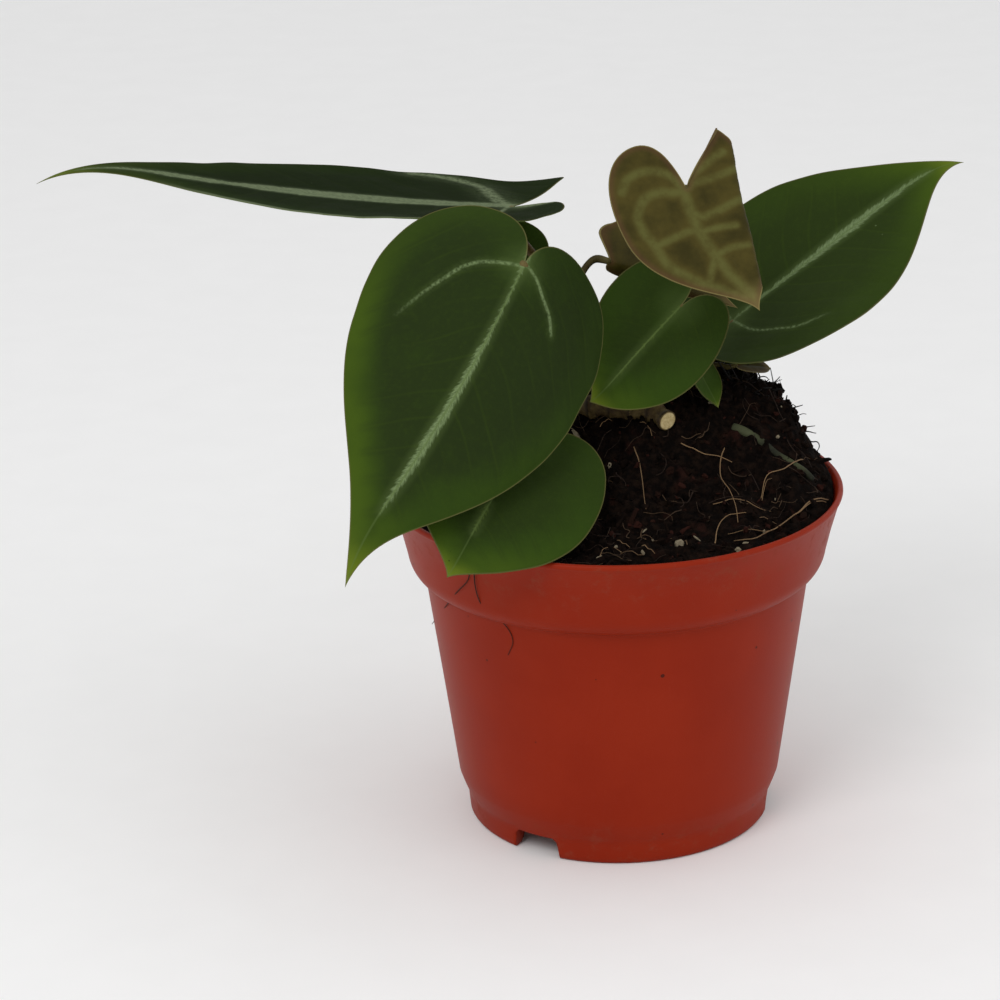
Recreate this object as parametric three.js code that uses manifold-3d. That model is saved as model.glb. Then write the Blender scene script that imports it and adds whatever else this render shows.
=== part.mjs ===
// A young anthurium with silver-veined heart leaves,
// growing from a creeping rhizome in a plastic nursery pot.
// Millimetres, +Z up. The origin is on the pot's axis, level with the surface that the pot stands on.
// The front of the plant faces -Y, and its longest leaf reaches out along -X.
import * as THREE from "three";
import { mergeVertices } from "three/addons/utils/BufferGeometryUtils.js";
import Module from "manifold-3d";

const wasm = await Module();
wasm.setup();

const DEG = Math.PI / 180;

// Pot
const POT_SEGMENTS = 60;
const POT_HEIGHT = 91;
const RIM_RADIUS = 60;
const WALL = 1.1;
const COLLAR_FOOT_RADIUS = 55.5;
const COLLAR_FOOT_Z = 75;
const COLLAR_MIDDLE_RADIUS = 56.9;
const COLLAR_MIDDLE_Z = 81;
const LEDGE_TOP_RADIUS = 53.2;
const LEDGE_TOP_Z = 70.6;
const LEDGE_Z = 69;
const LEDGE_RADIUS = 51.1;
const HEEL_Z = 12;
const HEEL_RADIUS = 43.2;
const FOOT_TOP_Z = 6;
const FOOT_RADIUS = 40.4;
const FOOT_THICKNESS = 3.2;
const PAD_RADIUS = 14;
const PAD_FLOOR = 1.4;
const LIP_WIDTH = 1.7;
const LIP_DROP = 0.3;
const NOTCH_ANGLES = [-35, 85, 205];
const NOTCH_WIDTH = 13.5;
const NOTCH_HEIGHT = 5.6;
const DRAIN_COUNT = 6;
const DRAIN_RADIUS = 3;
const DRAIN_CIRCLE_RADIUS = 27;

// Soil
const GAP = 0.3;
const SOIL_EDGE_Z = 88;
const MOUND_HEIGHT = 26.5;
const MOUND_X = 22;
const MOUND_Y = 18;
const MOUND_REACH_LEFT = 57;
const MOUND_REACH_RIGHT = 40;
const MOUND_REACH_FRONT = 32;
const MOUND_REACH_BACK = 40;
const MOUND_SHOULDER = 3.2;
const MOUND_FRONT_SHOULDER = 1.6;
const WALL_FALL = 10;
const CALM_EDGE = 2.5;
const CLUMP_HEIGHT = 1.5;
const CLUMP_SIZE = 6.5;
const CRUMB_HEIGHT = 0.8;
const CRUMB_SIZE = 2.1;
const SOIL_RINGS = 12;
const SEED = 7;

// Leaves
const BLADE_THICKNESS = 0.7;
const TIP_START = 0.7;
const ARC_STEPS = 24;
const CREASE_REACH = 0.6;
const LARGE_BLADE = { sinus: 3, lobe: 6, side: 13, across: 4 };
const SMALL_BLADE = { sinus: 2, lobe: 5, side: 9, across: 3 };
const BRONZE_BLADE = { sinus: 4, lobe: 6, side: 10, across: 4 };
const TINY_BLADE = { sinus: 2, lobe: 3, side: 5, across: 2 };

// A blade is a flat heart, bent in space. length runs from the stalk to the tip, left and right are the
// half widths seen from above with the tip ahead, and the lobes reach back past the stalk. wideAt is where
// it is widest, full, taper and point shape the margin from there to the tip. Then come the place and pose:
// where the stalk meets the blade, the compass heading of the tip from +X towards +Y, and in degrees the
// pitch, the roll, the arch, sweep and twist from base to tip, the droop of the lobes, and the fold and
// curl of each half.
const LEAVES = {
  long_leaf: {
    colour: 0x35452c,
    detail: LARGE_BLADE,
    length: 127,
    left: 37,
    right: 35.5,
    lobeLeft: 13.5,
    lobeRight: 16.5,
    wideAt: 0.21,
    full: 0.4,
    taper: 0.4,
    point: 0.12,
    attach: [-25.6, 36, 157.4],
    heading: 185,
    pitch: 4,
    roll: 2,
    arch: 13.5,
    sweep: 8.5,
    twist: -8,
    tipCurl: -42,
    lobeDrop: 21.5,
    foldLeft: 2,
    foldRight: -1,
    curlLeft: 11.5,
    curlRight: 1,
    openLeft: -0.2,
    openRight: 0.55,
    stalkRadius: 1.35,
    stalk: [
      [-4, 19, 98],
      [-5.5, 20, 110],
      [-12.5, 26, 127.5],
      [-19, 32, 143],
    ],
  },
  front_leaf: {
    colour: 0x38502a,
    detail: LARGE_BLADE,
    length: 100.5,
    left: 36,
    right: 37,
    lobeLeft: 13.5,
    lobeRight: 14,
    wideAt: 0.13,
    full: 0.49,
    taper: 0.32,
    point: 0.13,
    attach: [-23, -21, 158],
    heading: -118,
    pitch: -36,
    roll: -23,
    arch: 4,
    sweep: -17,
    twist: -5,
    tipCurl: -34,
    lobeDrop: -11,
    foldLeft: -33,
    foldRight: -7,
    curlLeft: -24,
    curlRight: -13,
    stalkRadius: 1.4,
    stalk: [
      [-12.5, 7, 95],
      [-13.5, 4, 107],
      [-15.5, -4, 128.5],
      [-18.5, -11, 143],
    ],
  },
  right_leaf: {
    colour: 0x3c5528,
    detail: LARGE_BLADE,
    length: 79,
    left: 30.5,
    right: 31.5,
    lobeLeft: 12.5,
    lobeRight: 13,
    wideAt: 0.23,
    full: 0.48,
    taper: 0.31,
    point: 0.11,
    attach: [32.5, 27.5, 126.5],
    heading: 22,
    pitch: 31,
    roll: 4,
    arch: -1,
    sweep: -1,
    twist: 23,
    tipCurl: -35,
    lobeDrop: 16,
    foldLeft: 7,
    foldRight: 3,
    curlLeft: 9,
    curlRight: -6,
    stalkRadius: 1.4,
    stalk: [
      [18.5, 18, 98],
      [19.5, 19, 105.5],
      [22.5, 21.5, 114],
    ],
  },
  middle_leaf: {
    colour: 0x49662e,
    detail: SMALL_BLADE,
    length: 37,
    left: 17,
    right: 17.5,
    lobeLeft: 7.5,
    lobeRight: 10,
    wideAt: 0.28,
    full: 0.7,
    taper: 0.12,
    point: 0.13,
    attach: [18, 8.5, 137],
    heading: -145,
    pitch: -33,
    roll: -33,
    arch: -1,
    sweep: 7,
    twist: -36,
    tipCurl: 18,
    lobeDrop: 3,
    foldLeft: 3,
    foldRight: 12,
    curlLeft: 2,
    curlRight: 16,
    stalkRadius: 1.1,
    stalk: [
      [6.5, 10, 100],
      [8, 11, 112],
      [12.5, 12, 124],
    ],
  },
  rim_leaf: {
    colour: 0x3d552b,
    detail: SMALL_BLADE,
    length: 56,
    left: 25,
    right: 24,
    lobeLeft: 10,
    lobeRight: 11,
    wideAt: 0.31,
    full: 0.62,
    taper: 0.19,
    point: 0.12,
    attach: [-22, -24.5, 112],
    heading: -115,
    pitch: -12.5,
    roll: -29.5,
    arch: -14,
    sweep: 1.5,
    twist: -5,
    tipCurl: 11,
    lobeDrop: 10,
    foldLeft: -1,
    foldRight: 5,
    curlLeft: 4,
    curlRight: -2,
    stalkRadius: 1.1,
    stalk: [
      [-13, 0, 88],
      [-14, -1, 96],
      [-17, -4, 101.5],
    ],
  },
  bronze_leaf: {
    colour: 0x6e6233,
    detail: BRONZE_BLADE,
    length: 37.5,
    left: 20,
    right: 22,
    lobeLeft: 11,
    lobeRight: 15.5,
    openLeft: 0.3,
    openRight: -0.1,
    wideAt: 0.18,
    full: 0.51,
    taper: 0.23,
    point: 0.11,
    attach: [18.5, -8.5, 173.5],
    heading: -45,
    pitch: -47,
    roll: 18,
    arch: 2,
    sweep: -10,
    twist: 4,
    tipCurl: -4,
    lobeDrop: 0,
    foldLeft: 3,
    foldRight: -4,
    curlLeft: -1,
    curlRight: -1,
    flapLeft: -150,
    flapAt: 0.85,
    flapRoll: 0.22,
    stalkRadius: 1,
    stalk: [
      [14.5, 19, 99],
      [14.5, 18.5, 110],
      [13.8, 17.5, 126.5],
      [13, 17.3, 139],
      [13, 18, 147.5],
      [14.5, 9, 157],
    ],
  },
  bronze_rear_leaf: {
    colour: 0x6a6036,
    detail: SMALL_BLADE,
    length: 39.5,
    left: 14.5,
    right: 4,
    lobeLeft: 1.8,
    lobeRight: 1,
    wideAt: 0.22,
    full: 0.45,
    taper: 0.3,
    point: 0.25,
    attach: [0, 16.5, 147.2],
    heading: 17,
    pitch: -21.5,
    roll: 48,
    arch: -8,
    sweep: -1,
    twist: 0,
    tipCurl: 3,
    lobeDrop: -13,
    foldLeft: -1,
    foldRight: -35,
    curlLeft: 0.5,
    curlRight: -60,
    openLeft: 0.3,
    stalkMeets: 45,
    stalkRadius: 1.05,
    stalk: [
      [0, 17.5, 100],
      [-2.5, 17, 112],
      [-8, 15.5, 126],
      [-10.4, 14, 136.5],
      [-8.6, 13.8, 143.2],
    ],
  },
  back_leaf: {
    colour: 0x3a522b,
    detail: SMALL_BLADE,
    length: 44,
    left: 16,
    right: 16.5,
    lobeLeft: 5.5,
    lobeRight: 7.5,
    wideAt: 0.21,
    full: 0.45,
    taper: 0.3,
    point: 0.1,
    attach: [-21.1, 42, 137],
    heading: 164,
    pitch: -15.5,
    roll: -50,
    arch: -9,
    sweep: 0,
    twist: 0,
    tipCurl: 0,
    lobeDrop: 13,
    foldLeft: 3.5,
    foldRight: 4,
    curlLeft: 0.5,
    curlRight: 2.5,
    stalkRadius: 1.15,
    stalk: [
      [-1, 25, 97],
      [-2.5, 27, 110],
      [-12, 38, 126],
    ],
  },
  bronze_low_leaf: {
    colour: 0x7a6d3c,
    detail: TINY_BLADE,
    length: 10,
    left: 3.2,
    right: 3.2,
    lobeLeft: 0.6,
    lobeRight: 0.6,
    wideAt: 0.4,
    full: 0.7,
    taper: 0.12,
    point: 0.4,
    attach: [33.3, 17.2, 117.6],
    heading: 20,
    pitch: -8,
    roll: 25,
    arch: -10,
    sweep: 0,
    twist: 0,
    tipCurl: 0,
    lobeDrop: 0,
    foldLeft: 6,
    foldRight: 6,
    curlLeft: 0,
    curlRight: 0,
    stalkMeets: 15,
    stalkRadius: 0.7,
    stalk: [
      [20, 14, 103],
      [20.5, 14.5, 111],
      [23.5, 15.5, 117],
      [28.5, 16.6, 118],
    ],
  },
  low_leaf: {
    colour: 0x35492a,
    detail: TINY_BLADE,
    length: 13.5,
    left: 5.5,
    right: 5.5,
    lobeLeft: 2.5,
    lobeRight: 2.5,
    wideAt: 0.35,
    full: 0.6,
    taper: 0.2,
    point: 0.2,
    attach: [21.5, 9.5, 121],
    heading: -41,
    pitch: -54,
    roll: 0,
    arch: 0,
    sweep: 0,
    twist: 0,
    tipCurl: 0,
    lobeDrop: 0,
    foldLeft: 12,
    foldRight: 12,
    curlLeft: 0,
    curlRight: 0,
    stalkRadius: 0.7,
    stalk: [
      [15, 12, 104],
      [15.5, 12, 112],
      [18, 11, 118.5],
    ],
  },
};

// Stalks, rhizome and the old stalk on the soil
const STALK_SIDES = 7;
const STALK_STEPS = 12;
const STALK_NECK = 3;
const STALK_FOOT = 1.15;
const STALK_TAPER = 0.3;
const STALK_CLEAR = 0.1;
const STEEPEST_RIDGE = 35;
const RHIZOME_PATH = [
  [-14, 14, 104.5],
  [-6, 10, 109],
  [4, 6.5, 109.6],
  [10.5, 3.5, 109.2],
  [13.8, -1, 108.6],
];
const RHIZOME_RADIUS = 3.2;
const RHIZOME_RINGS = 6;
const RING_SWELL = 0.35;
const OLD_STALK_PATH = [
  [31, 1, 106],
  [38, -2, 104.5],
  [45, -6, 100.6],
  [51, -10, 95],
];
const OLD_STALK_RADIUS = 1.4;

const COLOURS = {
  pot: 0x9c3f26,
  soil: 0x1b120d,
  rhizome: 0x8a7a4c,
  stalk: 0x5c4a2a,
  oldStalk: 0x6d7250,
};

function material(colour, roughness) {
  return new THREE.MeshStandardMaterial({ color: colour, roughness, metalness: 0, side: THREE.FrontSide });
}

function mesh(name, geometry, colour, roughness) {
  const made = new THREE.Mesh(geometry, material(colour, roughness));
  made.name = name;
  return made;
}

// Solids that are cut or joined, with only their positions kept and shared points merged.
function solid(geometry) {
  const bare = geometry.clone();
  bare.deleteAttribute("normal");
  bare.deleteAttribute("uv");
  const merged = mergeVertices(bare, 1e-4);
  return new wasm.Manifold(
    new wasm.Mesh({
      numProp: 3,
      vertProperties: new Float32Array(merged.attributes.position.array),
      triVerts: new Uint32Array(merged.index.array),
    }),
  );
}

function geometryOf(manifold) {
  const { vertProperties, triVerts } = manifold.getMesh();
  const geometry = new THREE.BufferGeometry();
  geometry.setAttribute("position", new THREE.BufferAttribute(new Float32Array(vertProperties), 3));
  geometry.setIndex(new THREE.BufferAttribute(new Uint32Array(triVerts), 1));
  geometry.computeVertexNormals();
  return geometry;
}

function indexed(points, triangles) {
  const geometry = new THREE.BufferGeometry();
  const places = points.flatMap((p) => [p.x, p.y, p.z]);
  geometry.setAttribute("position", new THREE.Float32BufferAttribute(places, 3));
  geometry.setIndex(triangles.flat());
  geometry.computeVertexNormals();
  return geometry;
}

// Pot

// The section runs from the axis under the floor, out to the foot, up the wall and over the rim, and back
// down the inside. The collar overhangs the wall, so that stacked pots rest on the ledge.
function potSection() {
  const path = new THREE.Path();
  path.moveTo(0, 0);
  path.lineTo(PAD_RADIUS, 0);
  path.lineTo(PAD_RADIUS + 1.5, FOOT_TOP_Z);
  path.lineTo(FOOT_RADIUS - FOOT_THICKNESS - 0.5, FOOT_TOP_Z);
  path.lineTo(FOOT_RADIUS - FOOT_THICKNESS, 0);
  path.lineTo(FOOT_RADIUS - 0.4, 0);
  path.lineTo(FOOT_RADIUS, 0.5);
  path.lineTo(FOOT_RADIUS + 0.5, FOOT_TOP_Z);
  path.quadraticCurveTo(HEEL_RADIUS - 1, HEEL_Z - 3, HEEL_RADIUS, HEEL_Z);
  path.lineTo(LEDGE_RADIUS, LEDGE_Z);
  path.quadraticCurveTo(COLLAR_FOOT_RADIUS - 0.6, LEDGE_Z + 1.4, COLLAR_FOOT_RADIUS, COLLAR_FOOT_Z);
  path.lineTo(COLLAR_MIDDLE_RADIUS, COLLAR_MIDDLE_Z);
  path.lineTo(RIM_RADIUS - 0.8, POT_HEIGHT - 1.8);
  path.quadraticCurveTo(RIM_RADIUS + 0.3, POT_HEIGHT - 0.9, RIM_RADIUS - 0.6, POT_HEIGHT);
  path.lineTo(RIM_RADIUS - LIP_WIDTH, POT_HEIGHT - LIP_DROP);
  for (const [radius, z] of potInside()) path.lineTo(radius, z);
  path.lineTo(0, PAD_FLOOR);
  return path.getPoints(3);
}

// The inside of the wall from the rim down to the recess over the middle pad.
function potInside() {
  return [
    [COLLAR_MIDDLE_RADIUS - WALL, COLLAR_MIDDLE_Z],
    [COLLAR_FOOT_RADIUS - WALL, COLLAR_FOOT_Z],
    [LEDGE_TOP_RADIUS - WALL, LEDGE_TOP_Z],
    [LEDGE_RADIUS - WALL, LEDGE_Z - 0.2],
    [HEEL_RADIUS - WALL, HEEL_Z + 0.4],
    [FOOT_RADIUS - WALL, FOOT_TOP_Z + 1.6],
    [PAD_RADIUS + 2.6, FOOT_TOP_Z + PAD_FLOOR],
    [PAD_RADIUS + 1.1, PAD_FLOOR],
  ];
}

function potGeometry() {
  const lathe = new THREE.LatheGeometry(potSection(), POT_SEGMENTS);
  lathe.rotateX(Math.PI / 2);
  let pot = solid(lathe);
  if (pot.volume() < 0) throw new Error("the pot's section runs the wrong way");
  for (const angle of NOTCH_ANGLES) {
    const notch = new THREE.BoxGeometry(NOTCH_WIDTH, 12, 2 * NOTCH_HEIGHT);
    notch.translate(0, -(FOOT_RADIUS - 1), 0);
    notch.rotateZ(angle * DEG);
    pot = pot.subtract(solid(notch));
  }
  for (let i = 0; i < DRAIN_COUNT; i++) {
    const drain = new THREE.CylinderGeometry(DRAIN_RADIUS, DRAIN_RADIUS, 8, 12);
    drain.rotateX(Math.PI / 2);
    drain.translate(0, -DRAIN_CIRCLE_RADIUS, FOOT_TOP_Z);
    drain.rotateZ((i * 2 * Math.PI) / DRAIN_COUNT);
    pot = pot.subtract(solid(drain));
  }
  return geometryOf(pot);
}

// Soil

function hash(i, j, k) {
  const value = Math.sin(i * 127.1 + j * 311.7 + k * 74.7 + SEED) * 43758.5453;
  return value - Math.floor(value);
}

// Smooth noise between -1 and 1 on a square lattice.
function noise(x, y, k) {
  const i = Math.floor(x);
  const j = Math.floor(y);
  const ease = (v) => v * v * (3 - 2 * v);
  const a = ease(x - i);
  const b = ease(y - j);
  const low = hash(i, j, k) * (1 - a) + hash(i + 1, j, k) * a;
  const high = hash(i, j + 1, k) * (1 - a) + hash(i + 1, j + 1, k) * a;
  return 2 * (low * (1 - b) + high * b) - 1;
}

// The soil is level with the rim in front and mounds up behind the rhizome, with a steep fall at the wall.
function soilHeight(x, y) {
  const dx = Math.abs(x - MOUND_X) / (x < MOUND_X ? MOUND_REACH_LEFT : MOUND_REACH_RIGHT);
  const dy = Math.abs(y - MOUND_Y) / (y < MOUND_Y ? MOUND_REACH_FRONT : MOUND_REACH_BACK);
  const shoulder = y < MOUND_Y ? MOUND_FRONT_SHOULDER : MOUND_SHOULDER;
  const mound = Math.exp(-Math.pow(dx, MOUND_SHOULDER) - Math.pow(dy, shoulder));
  const wall = Math.max(0, 1 - Math.pow(Math.hypot(x, y) / (RIM_RADIUS - 1.5), WALL_FALL));
  const clumps = CLUMP_HEIGHT * noise(x / CLUMP_SIZE, y / CLUMP_SIZE, 1);
  const crumbs = CRUMB_HEIGHT * noise(x / CRUMB_SIZE, y / CRUMB_SIZE, 2);
  return SOIL_EDGE_Z + MOUND_HEIGHT * mound * wall + (clumps + crumbs) * Math.min(1, CALM_EDGE * wall);
}

function soilGeometry(holes) {
  const lip = { radius: RIM_RADIUS - LIP_WIDTH, z: POT_HEIGHT - LIP_DROP };
  const slope = (lip.radius - COLLAR_MIDDLE_RADIUS + WALL) / (lip.z - COLLAR_MIDDLE_Z);
  const edge = lip.radius - GAP - (POT_HEIGHT - SOIL_EDGE_Z) * slope;
  const rings = [];
  for (let k = 1; k <= SOIL_RINGS; k++) {
    const radius = (edge * k) / SOIL_RINGS;
    rings.push((x, y) => [radius, soilHeight(x * radius, y * radius)]);
  }
  for (const [radius, z] of potInside()) rings.push(() => [radius - GAP, z + (z < FOOT_TOP_Z + 2 ? GAP : 0)]);
  const points = [new THREE.Vector3(0, 0, soilHeight(0, 0))];
  for (const ring of rings) {
    for (let i = 0; i < POT_SEGMENTS; i++) {
      const phi = (2 * Math.PI * i) / POT_SEGMENTS;
      const x = Math.sin(phi);
      const y = -Math.cos(phi);
      const [radius, z] = ring(x, y);
      points.push(new THREE.Vector3(radius * x, radius * y, z));
    }
  }
  points.push(new THREE.Vector3(0, 0, PAD_FLOOR + GAP));
  const bottom = points.length - 1;
  const triangles = [];
  for (let i = 0; i < POT_SEGMENTS; i++) {
    const j = (i + 1) % POT_SEGMENTS;
    triangles.push([0, 1 + i, 1 + j]);
    for (let k = 1; k < rings.length; k++) {
      const upper = 1 + (k - 1) * POT_SEGMENTS;
      const lower = 1 + k * POT_SEGMENTS;
      triangles.push([upper + i, lower + i, lower + j], [upper + i, lower + j, upper + j]);
    }
    const last = 1 + (rings.length - 1) * POT_SEGMENTS;
    triangles.push([last + j, last + i, bottom]);
  }
  let soil = solid(indexed(points, triangles));
  for (const hole of holes) soil = soil.subtract(solid(hole));
  return geometryOf(soil);
}

// Leaf blades

// The two legs of a curve of the given length whose direction follows angleAt.
function arc(length, angleAt) {
  let along = 0;
  let aside = 0;
  for (let k = 0; k < ARC_STEPS; k++) {
    const angle = angleAt((length * (k + 0.5)) / ARC_STEPS);
    along += Math.cos(angle);
    aside += Math.sin(angle);
  }
  return [(along * length) / ARC_STEPS, (aside * length) / ARC_STEPS];
}

// The margin of one half in the flat leaf, from beside the stalk round the lobe to the tip.
function margin(leaf, side) {
  const width = side > 0 ? leaf.left : leaf.right;
  const lobe = side > 0 ? leaf.lobeLeft : leaf.lobeRight;
  const open = (side > 0 ? leaf.openLeft : leaf.openRight) || 0;
  const wide = leaf.wideAt * leaf.length;
  const rest = leaf.length - wide;
  const lobeSide = (0.4 + 0.5 * open) * width;
  const v = (s, t) => new THREE.Vector2(s, t);
  const stretches = [
    [
      leaf.detail.sinus,
      v(-0.02 * lobe, 0),
      v(-0.55 * lobe, (0.02 + 0.4 * open) * width),
      v(-lobe, (0.14 + open) * width),
      v(-lobe, lobeSide),
    ],
    [
      leaf.detail.lobe,
      v(-lobe, lobeSide),
      v(-lobe, (0.78 + 0.1 * open) * width),
      v(wide - 0.55 * (wide + lobe), width),
      v(wide, width),
    ],
    [
      leaf.detail.side,
      v(wide, width),
      v(wide + leaf.full * rest, width),
      v(leaf.length - leaf.taper * rest, leaf.point * width),
      v(leaf.length, 0),
    ],
  ];
  return stretches.flatMap(([count, ...corners]) => {
    const curve = new THREE.CubicBezierCurve(...corners);
    return curve.getPoints(count).slice(1);
  });
}

// Where the point s along and t to the side of the flat leaf lies once the blade is bent and placed.
function bladePoint(leaf, s, t, side) {
  const lobe = side > 0 ? leaf.lobeLeft : leaf.lobeRight;
  const width = side > 0 ? leaf.left : leaf.right;
  const lobeShare = (leaf.lobeLeft + leaf.lobeRight) / 2 / leaf.length;
  const pitchAt = (u) => {
    const share = u / leaf.length;
    const tip = Math.max(0, (share - TIP_START) / (1 - TIP_START));
    const back = Math.max(0, -share) / lobeShare;
    return (leaf.pitch + leaf.arch * share + leaf.tipCurl * tip * tip - leaf.lobeDrop * back) * DEG;
  };
  const [run, rise] = arc(s, pitchAt);
  const bendAt = (u) => (leaf.sweep * DEG * Math.max(0, u)) / leaf.length;
  const [ahead, beside] = arc(run, bendAt);
  const heading = leaf.heading * DEG;
  const turned = heading + bendAt(run);
  const pitch = pitchAt(s);
  const roll = (leaf.roll + (leaf.twist * s) / leaf.length) * DEG;
  const leftward = new THREE.Vector3(-Math.sin(turned), Math.cos(turned), 0);
  const upward = new THREE.Vector3(
    -Math.sin(pitch) * Math.cos(turned),
    -Math.sin(pitch) * Math.sin(turned),
    Math.cos(pitch),
  );
  const across = leftward.clone().multiplyScalar(Math.cos(roll)).addScaledVector(upward, Math.sin(roll));
  const normal = upward.clone().multiplyScalar(Math.cos(roll)).addScaledVector(leftward, -Math.sin(roll));
  const fold = (side > 0 ? leaf.foldLeft : leaf.foldRight) * DEG;
  const curl = (side > 0 ? leaf.curlLeft : leaf.curlRight) * DEG;
  const flap = (side > 0 ? leaf.flapLeft || 0 : 0) * DEG;
  const crease = ((leaf.flapAt || 1) * width * (leaf.length - s)) / (leaf.length + CREASE_REACH * lobe);
  const out = (u) => {
    const past = Math.min(1, Math.max(0, (u - crease) / ((leaf.flapRoll || 1) * width)));
    return fold + (curl * u) / width + flap * past * past * (3 - 2 * past);
  };
  const [sideways, lift] = arc(t, out);
  return new THREE.Vector3(...leaf.attach)
    .addScaledVector(new THREE.Vector3(Math.cos(heading), Math.sin(heading), 0), ahead)
    .addScaledVector(new THREE.Vector3(-Math.sin(heading), Math.cos(heading), 0), beside)
    .addScaledVector(new THREE.Vector3(0, 0, 1), rise)
    .addScaledVector(across, side * sideways)
    .addScaledVector(normal, lift);
}

// Rows run from the midrib out to the margin. Those of the lobes all start at the stalk.
function bladeGeometry(leaf) {
  const points = [];
  const ids = new Map();
  const triangles = [];
  const { sinus, lobe, side: sideRows, across } = leaf.detail;
  const last = sinus + lobe + sideRows - 1;
  const firstRib = sinus + 0.45 * lobe;
  const footOf = (row) => leaf.length * Math.pow(Math.max(0, (row - firstRib) / (last - firstRib)), 1.15);
  const margins = { 1: margin(leaf, 1), "-1": margin(leaf, -1) };
  const vertex = (side, row, column) => {
    const foot = footOf(row);
    let key = `${side} ${row} ${column}`;
    if (column === 0) key = foot === 0 ? "stalk" : `rib ${row}`;
    if (row === last) key = "tip";
    if (!ids.has(key)) {
      const edge = margins[side][row];
      const share = row === last ? 1 : column / across;
      ids.set(key, points.length);
      points.push(bladePoint(leaf, foot + (edge.x - foot) * share, edge.y * share, side));
    }
    return ids.get(key);
  };
  const face = (a, b, c) => {
    if (a !== b && b !== c && c !== a) triangles.push([a, b, c]);
  };
  for (const side of [1, -1]) {
    for (let row = 0; row < last; row++) {
      for (let column = 0; column < across; column++) {
        const a = vertex(side, row, column);
        const b = vertex(side, row + 1, column);
        const c = vertex(side, row + 1, column + 1);
        const d = vertex(side, row, column + 1);
        if (side > 0) {
          face(a, b, c);
          face(a, c, d);
        } else {
          face(a, c, b);
          face(a, d, c);
        }
      }
    }
  }
  const rows = [...Array(last + 1).keys()];
  const columns = [...Array(across).keys()];
  const edge = [
    ...columns.map((column) => vertex(1, 0, column)),
    ...rows.map((row) => vertex(1, row, across)),
    ...rows.slice(0, -1).reverse().map((row) => vertex(-1, row, across)),
    ...columns.slice(1).reverse().map((column) => vertex(-1, 0, column)),
  ];
  return thickened(points, triangles, edge);
}

// A sheet given its thickness: the same triangles above and below, joined round the edge.
function thickened(points, triangles, edge) {
  const normals = indexed(points, triangles).attributes.normal;
  const offset = (sign) =>
    points.map((point, i) => {
      const normal = new THREE.Vector3().fromBufferAttribute(normals, i);
      return point.clone().addScaledVector(normal, (sign * BLADE_THICKNESS) / 2);
    });
  const count = points.length;
  const all = [...triangles, ...triangles.map(([a, b, c]) => [a + count, c + count, b + count])];
  edge.forEach((a, i) => {
    const b = edge[(i + 1) % edge.length];
    all.push([a, b, b + count], [a, b + count, a + count]);
  });
  return indexed([...offset(1), ...offset(-1)], all);
}

// Stalks and rhizome

function tubeGeometry(path, radiusAt, sides, steps) {
  const waypoints = path.map((p) => new THREE.Vector3(...p));
  const curve = new THREE.CatmullRomCurve3(waypoints, false, "centripetal");
  const frames = curve.computeFrenetFrames(steps, false);
  const points = [];
  const triangles = [];
  for (let i = 0; i <= steps; i++) {
    const centre = curve.getPointAt(i / steps);
    for (let k = 0; k < sides; k++) {
      const angle = (2 * Math.PI * k) / sides;
      points.push(
        centre
          .clone()
          .addScaledVector(frames.normals[i], Math.cos(angle) * radiusAt(i / steps))
          .addScaledVector(frames.binormals[i], Math.sin(angle) * radiusAt(i / steps)),
      );
    }
  }
  points.push(curve.getPointAt(0), curve.getPointAt(1));
  const start = points.length - 2;
  const end = points.length - 1;
  const far = steps * sides;
  for (let k = 0; k < sides; k++) {
    const next = (k + 1) % sides;
    for (let i = 0; i < steps; i++) {
      const a = i * sides;
      const b = a + sides;
      triangles.push([a + k, a + next, b + next], [a + k, b + next, b + k]);
    }
    triangles.push([start, next, k], [end, far + k, far + next]);
  }
  return indexed(points, triangles);
}

// A stalk ends a small gap short of the underside of its blade, square to it unless stalkMeets, the angle
// between the stalk and the midrib, says otherwise.
function stalkPath(leaf) {
  const here = bladePoint(leaf, 0, 0, 1);
  const ahead = bladePoint(leaf, 1, 0, 1).sub(here).normalize();
  const left = bladePoint(leaf, 0, 1, 1).sub(here);
  const right = bladePoint(leaf, 0, 1, -1).sub(here);
  const normal = ahead.clone().cross(left.sub(right)).normalize();
  const meets = (leaf.stalkMeets ?? 90) * DEG;
  const along = ahead.multiplyScalar(Math.cos(meets)).addScaledVector(normal, Math.sin(meets));
  const steepest = Math.min(STEEPEST_RIDGE, Math.max(0, -leaf.foldLeft, -leaf.foldRight));
  const ridge = Math.tan(DEG * steepest) * leaf.stalkRadius;
  const top = here.clone().addScaledVector(along, -(BLADE_THICKNESS / 2 + GAP + STALK_CLEAR + ridge));
  const neck = top.clone().addScaledVector(along, -STALK_NECK * leaf.stalkRadius);
  return [...leaf.stalk, neck.toArray(), top.toArray()];
}

// Stalks are thickest where they leave the soil and thin towards the blade, with a slight swelling under it.
function stalkGeometry(leaf, extra = 0) {
  const radiusAt = (u) => leaf.stalkRadius * (STALK_FOOT - STALK_TAPER * u) + extra;
  return tubeGeometry(stalkPath(leaf), radiusAt, STALK_SIDES, STALK_STEPS);
}

function holeGeometry(leaf) {
  return tubeGeometry(stalkPath(leaf), () => leaf.stalkRadius * STALK_FOOT + GAP, STALK_SIDES, STALK_STEPS);
}

function rhizomeGeometry(extra = 0) {
  const swell = (u) => (extra ? RING_SWELL : RING_SWELL * Math.cos(2 * Math.PI * RHIZOME_RINGS * u));
  const radiusAt = (u) => RHIZOME_RADIUS + extra + swell(u);
  return tubeGeometry(RHIZOME_PATH, radiusAt, 12, 4 * RHIZOME_RINGS);
}

function oldStalkGeometry(extra = 0) {
  return tubeGeometry(OLD_STALK_PATH, (u) => OLD_STALK_RADIUS * (1 - 0.35 * u) + extra, 8, 12);
}

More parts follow.
